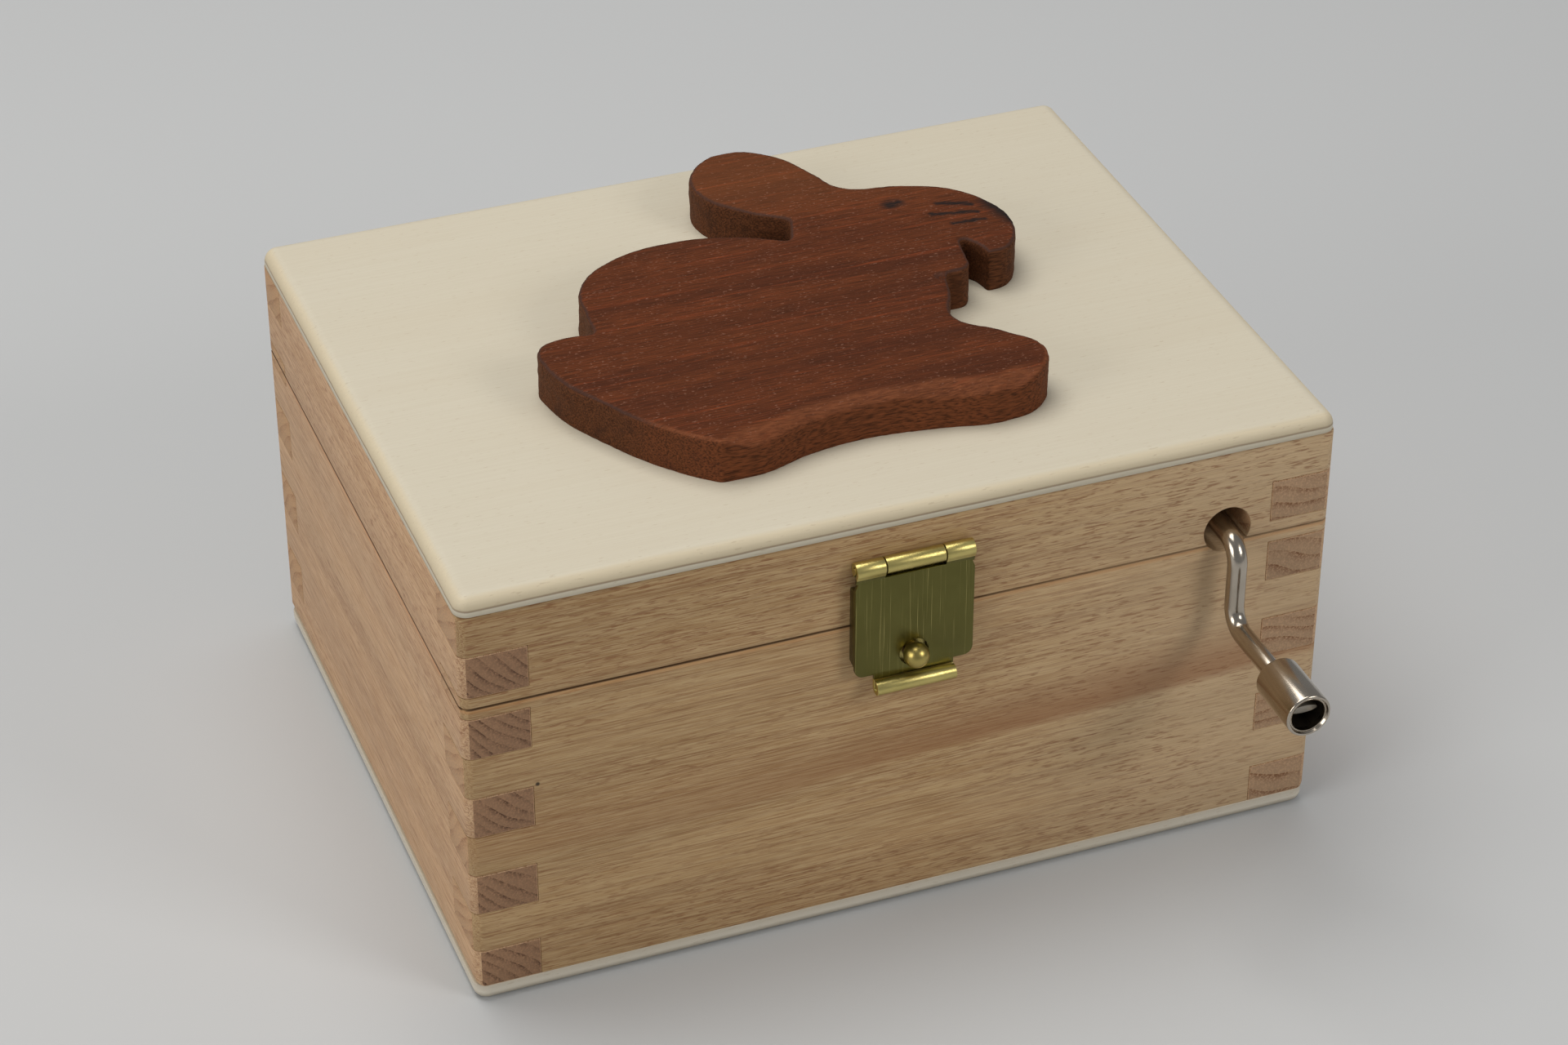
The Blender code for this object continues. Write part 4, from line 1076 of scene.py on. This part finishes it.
def make_flap_flanges(left, right):
    """The plate's folded sides, which reach back to the wall."""
    bm = bmesh.new()
    wall_y = -HALF_D - 0.1
    corners = ((FLAP_Y, FLAP_BOTTOM_Z + 1.6), (wall_y, FLAP_BOTTOM_Z + 2.2))
    corners += ((wall_y, FLAP_TOP_Z - 1.9), (FLAP_Y, FLAP_TOP_Z - 1.4))
    for x in (left + SHEET_T / 2 - 0.05, right - SHEET_T / 2 + 0.05):
        prism(corners, "X", x - SHEET_T / 2, x + SHEET_T / 2, bm)
    finish_piece("brass_hasp_flanges", bm, (BRASS_PLATE_PAINTED_DARK,), "hasp", (), 0.12)


def make_hasp_leaf():
    """The leaf nailed to the lid, with the middle knuckle."""
    bm = bmesh.new()
    sheet_y = -HALF_D - SHEET_T / 2 - 0.02
    foot_z = SEAM_Z + 1.0
    top_z = HASP_AXIS[1] - 2.4
    tail = [(sheet_y - 0.4, HASP_AXIS[1] - 1.6), (sheet_y, top_z), (sheet_y, foot_z)]
    line = roll(HASP_AXIS, HASP_KNUCKLE_R - SHEET_T / 2, *HASP_ROLL, tail)
    half = HASP_MIDDLE_HALF - 0.1
    ribbon(bm, line, SHEET_T, HASP_X - half, HASP_X + half)
    low, high = corners_mm("hasp_lid_leaf")
    left = HASP_X - (high.x - low.x) / 2
    right = HASP_X + (high.x - low.x) / 2
    outline = ((left, foot_z), (right, foot_z), (right, top_z), (left, top_z))
    prism(outline, "Y", sheet_y - SHEET_T / 2 + 0.02, sheet_y + SHEET_T / 2 - 0.02, bm)
    finish_piece("brass_hasp_leaf", bm, (BRASS_ROLL,), "lid", ("hasp_lid_leaf",), 0.08)


def make_catch_ball():
    """The ball on a stem that the flap snaps over."""
    bm = bmesh.new()
    ball = [
        (CATCH_R * math.sin(angle), CATCH_R * math.cos(angle))
        for angle in (math.radians(degree) for degree in range(0, 140, 8))
    ]
    stem_end = CATCH_Y + HALF_D - 4.0
    stem = [(1.25, -1.55), (1.05, -2.1), (1.05, stem_end), (0, stem_end)]
    lathe(bm, ball + stem, (HASP_X, CATCH_Y, CATCH_Z), -Y_AXIS)
    finish_piece("brass_catch_knob", bm, (BRASS_BALL,), "base", ("catch_knob",))


def make_hasp():
    left = HASP_X - HASP_W / 2
    right = HASP_X + HASP_W / 2
    make_flap_plate(left, right)
    make_flap_knuckles(left, right)
    make_flap_curl()
    make_flap_flanges(left, right)
    make_hasp_leaf()
    make_catch_ball()


def cut_with(obj, cutter_bm):
    """Cuts a solid out of a piece."""
    bmesh.ops.recalc_face_normals(cutter_bm, faces=cutter_bm.faces)
    mesh = to_mesh("cutter", cutter_bm)
    cutter = add_object("cutter", mesh)
    boolean = obj.modifiers.new("hole", "BOOLEAN")
    boolean.operation = "DIFFERENCE"
    boolean.solver = "EXACT"
    boolean.object = cutter
    bake_modifiers(obj)
    bpy.data.objects.remove(cutter, do_unlink=True)
    bpy.data.meshes.remove(mesh)


def make_hinges():
    """The two butt hinges at the back. Each leaf is a plate with its rolled knuckles."""
    middle = HINGE_MIDDLE_HALF
    half = HINGE_W / 2
    sheet_y = HALF_D + HINGE_OFF_WALL + SHEET_T / 2
    r = LEAF_CORNER_R
    for side in ("left", "right"):
        low, high = corners_mm(f"hinge_{side}_pin")
        centre_x = (low.x + high.x) / 2
        for body, sign, spans in (
            ("base", -1, ((-half, -middle - KNUCKLE_GAP), (middle + KNUCKLE_GAP, half))),
            ("lid", 1, ((KNUCKLE_GAP - middle, middle - KNUCKLE_GAP),)),
        ):
            near = SEAM_Z + sign * HINGE_CLEAR_Z
            far = near + sign * LEAF_H
            outline = [
                (centre_x + half, near),
                *arc((centre_x + half - r, far - sign * r), r, 0, 90 * sign, 5),
                *arc((centre_x - half + r, far - sign * r), r, 90 * sign, 180 * sign, 5),
                (centre_x - half, near),
            ]
            bm = prism(outline, "Y", sheet_y - SHEET_T / 2, sheet_y + SHEET_T / 2)
            tail = [(sheet_y + 0.1, SEAM_Z + sign * 1.3), (sheet_y, near + sign * 0.6)]
            axis = (HINGE_AXIS_Y, SEAM_Z)
            line = roll(axis, HINGE_KNUCKLE_R - SHEET_T / 2, -sign * 110, sign * 160, tail)
            for start, end in spans:
                ribbon(bm, line, SHEET_T, centre_x + start, centre_x + end)
            name = f"hinge_{side}_{body}_leaf"
            finish_piece("brass_" + name, bm, (BRASS_ROLL,), body, (name,), 0.08)


# ------------------------ crank


def make_handle():
    """The bent wire: shaft, arm and the pin that the knob turns on."""
    r = WIRE_BEND_R
    line = [(SHAFT_BACK_Y, SHAFT_Z), (-30.0, SHAFT_Z)]
    line += arc((ARM_Y + r, SHAFT_Z - r), r, 90, 180, 18)
    line += arc((ARM_Y - r, KNOB_Z + r), r, 0, -90, 18)
    sections = [(WIRE_R, WIRE_R)] * len(line)
    # The wire's end is squashed: each step gives its y, then its width and height in wire radii.
    end_y = KNOB_BACK_Y - WIRE_IN_KNOB
    squash = (
        (end_y + 2.2, 1.0, 1.0),
        (end_y + 1.5, 1.15, 0.7),
        (end_y + 0.7, 1.5, 0.45),
        (end_y, 1.45, 0.4),
    )
    for y, wide, tall in squash:
        line.append((y, KNOB_Z))
        sections.append((WIRE_R * wide, WIRE_R * tall))
    bm = bmesh.new()
    tube(bm, line, sections)
    crimp = ((WIRE_R - 0.1, 0.9), (WIRE_R + 0.2, 0.7), (WIRE_R + 0.35, 0.1), (WIRE_R - 0.1, 0.05))
    lathe(bm, crimp, (SHAFT_X, KNOB_BACK_Y, KNOB_Z), Y_AXIS, closed=True)
    finishes = (NICKEL, NICKEL_CUT)
    handle = finish_piece("nickel_crank_handle", bm, finishes, "crank", ("crank_handle",), 0.06)
    for polygon in handle.data.polygons:
        polygon.material_index = 1 if polygon.center.y / MM < end_y + 1.6 else 0


def make_knob():
    """The turned knob: a sleeve with a rolled rim round a hollow end."""
    bm = bmesh.new()
    cup_floor = CUP_DEPTH - KNOB_L
    bore_r = WIRE_R + 0.25
    profile = arc((KNOB_R - 0.5, -0.5), 0.5, 90, 0, 6)
    profile += arc((KNOB_R - 0.3, -KNOB_L + 0.3), 0.3, 0, -90, 5)
    profile += [(KNOB_R - 0.4, -KNOB_L + 0.02), (KNOB_R - 0.48, -KNOB_L + 0.18)]
    profile += arc((CUP_R, -KNOB_L + 0.32), 0.15, 60, 180, 5)
    profile += [(CUP_R - 0.1, -KNOB_L + 1.2), (CUP_R, -KNOB_L + 1.3), (CUP_R, cup_floor)]
    profile += [(bore_r, cup_floor), (bore_r, 0.0)]
    lathe(bm, profile, (SHAFT_X, KNOB_BACK_Y, KNOB_Z), Y_AXIS, steps=72, closed=True)
    finishes = (NICKEL, NICKEL_PAINTED_SHADE)
    knob = finish_piece("nickel_crank_knob", bm, finishes, "knob", ("crank_knob",))
    # Deep inside the cup the nickel is painted darker, as shade in the hollow.
    for polygon in knob.data.polygons:
        across = math.hypot(polygon.center.x / MM - SHAFT_X, polygon.center.z / MM - KNOB_Z)
        deep = polygon.center.y / MM > KNOB_BACK_Y - KNOB_L + 1.1
        polygon.material_index = 1 if deep and across < CUP_R + 0.05 else 0


# ------------------------ movement


def make_cylinder():
    """The pinned cylinder. A fixed rule picks the beats that each note has a pin on."""
    low, high = corners_mm("cylinder")
    bm = bmesh.new()
    pin = ((0, PIN_H), (PIN_R * 0.7, PIN_H - 0.05), (PIN_R, PIN_H - 0.2), (PIN_R, 0), (0, 0))
    edge = 0.35
    half = (high.z - low.z) / 2
    bore = 1.2
    profile = (
        (bore, half),
        (CYLINDER_R - edge, half),
        (CYLINDER_R, half - edge),
        (CYLINDER_R, edge - half),
        (CYLINDER_R - edge, -half),
        (bore, -half),
    )
    middle = Vector((CYLINDER_X, CYLINDER_Y, (low.z + high.z) / 2))
    lathe(bm, profile, middle, Z_AXIS, steps=96, closed=True)
    for note in range(NOTES):
        z = middle.z + (note - (NOTES - 1) / 2) * NOTE_PITCH
        for beat in range(BEATS):
            if (beat * 7 + note * 5) % 9 > 1 and (beat + note * 3) % 8 != 0:
                continue
            angle = 2 * math.pi * (beat + 0.3 * (note % 2)) / BEATS
            out = Vector((math.cos(angle), math.sin(angle), 0))
            foot = Vector((middle.x, middle.y, z)) + out * (CYLINDER_R - PIN_SUNK)
            lathe(bm, pin, foot, out, steps=6)
    finish_piece("brass_cylinder", bm, (BRASS_ROLL,), "cylinder", ("cylinder",))


def soften(node_name, material, body, width_mm):
    """A copy of a CAD node with rounded edges."""
    bm = bmesh.new()
    bm.from_mesh(frame["nodes"][node_name].data)
    bmesh.ops.remove_doubles(bm, verts=bm.verts, dist=1e-6)
    bmesh.ops.dissolve_limit(
        bm, angle_limit=math.radians(0.5), verts=bm.verts, edges=bm.edges, delimit={"NORMAL"}
    )
    finish_piece("soft_" + node_name, bm, (material,), body, (node_name,), width_mm, 3)


def keep_cad_nodes():
    """The movement's small parts, pins and nails keep their CAD shape and get their finish."""
    finishes = {"brass": BRASS_ROLL, "steel": STEEL, "cast_zinc": ZINC}
    for row in frame["record"]["subparts"]:
        piece = frame["nodes"][row["node"]]
        if piece.hide_render:
            continue
        piece.data.materials.clear()
        piece.data.materials.append(finishes[row["material_slot"]])


# ------------------------ scene


def area_light(name, place, target, side, power):
    data = bpy.data.lights.new(name, "AREA")
    data.shape = "RECTANGLE"
    data.size = side
    data.size_y = side
    data.energy = power
    data.color = WARM_LIGHT
    light = add_object(name, data)
    light.location = place
    light.rotation_euler = (Vector(target) - Vector(place)).to_track_quat("-Z", "Y").to_euler()


def make_stage():
    """A pale floor, a dim sky and three soft lights."""
    bm = bmesh.new()
    reach = 6.0
    outline = ((-reach, -reach), (reach, -reach), (reach, reach), (-reach, reach))
    bm.faces.new([bm.verts.new((x, y, 0.0)) for x, y in outline])
    floor = add_object("floor", to_mesh("floor", bm))
    material, tree, shader = new_material("floor")
    plug(tree, shader, Base_Color=(0.55, 0.565, 0.575, 1.0), Roughness=0.75)
    floor.data.materials.append(material)

    world = bpy.data.worlds.new("studio")
    world.use_nodes = True
    background = world.node_tree.nodes["Background"]
    background.inputs["Color"].default_value = (0.95, 0.97, 1.0, 1.0)
    background.inputs["Strength"].default_value = 0.25
    bpy.context.scene.world = world
    bpy.context.scene.view_settings.view_transform = "Standard"
    for softbox in SOFTBOXES:
        area_light(*softbox)


def make_camera():
    data = bpy.data.cameras.new("camera")
    data.lens = CAMERA_LENS
    data.sensor_width = 36.0
    data.clip_start = 0.01
    camera = add_object("camera", data)
    camera.location = CAMERA_PLACE
    camera.rotation_euler = (math.radians(CAMERA_TILT), 0.0, math.radians(CAMERA_TURN))
    bpy.context.scene.camera = camera


make_camera()
make_carcase("base", PLY_TOP_Z, SEAM_Z - SEAM_LINE)
make_carcase("lid", SEAM_Z + SEAM_LINE, LID_UNDER_Z)
make_panel(
    "plywood_bottom_panel",
    round_over(BOTTOM_EDGE_R, PLY_TOP_Z, PANEL_LOW.z)[::-1] + [(0, PLY_TOP_Z - 0.1), (0.1, PLY_TOP_Z)],
    BOTTOM_PLY,
    "base",
    ("bottom_panel",),
)
make_panel(
    "plywood_lid_panel",
    [(0.1, LID_UNDER_Z), (0, LID_UNDER_Z + 0.1)] + round_over(LID_EDGE_R, LID_UNDER_Z, LID_HIGH.z),
    LID_PLY,
    "lid",
    ("lid_panel",),
)
make_rabbit()
make_hasp()
make_hinges()
make_handle()
make_knob()
make_cylinder()
soften("movement_bedplate", ZINC, "base", 0.45)
soften("cylinder_bracket_lower", STEEL, "base", 0.2)
soften("cylinder_bracket_upper", STEEL, "base", 0.2)
soften("comb", STEEL, "base", 0.06)
soften("cylinder_gear", BRASS_ROLL, "cylinder", 0.08)
soften("catch_plate", BRASS_ROLL, "base", 0.15)
keep_cad_nodes()
make_stage()
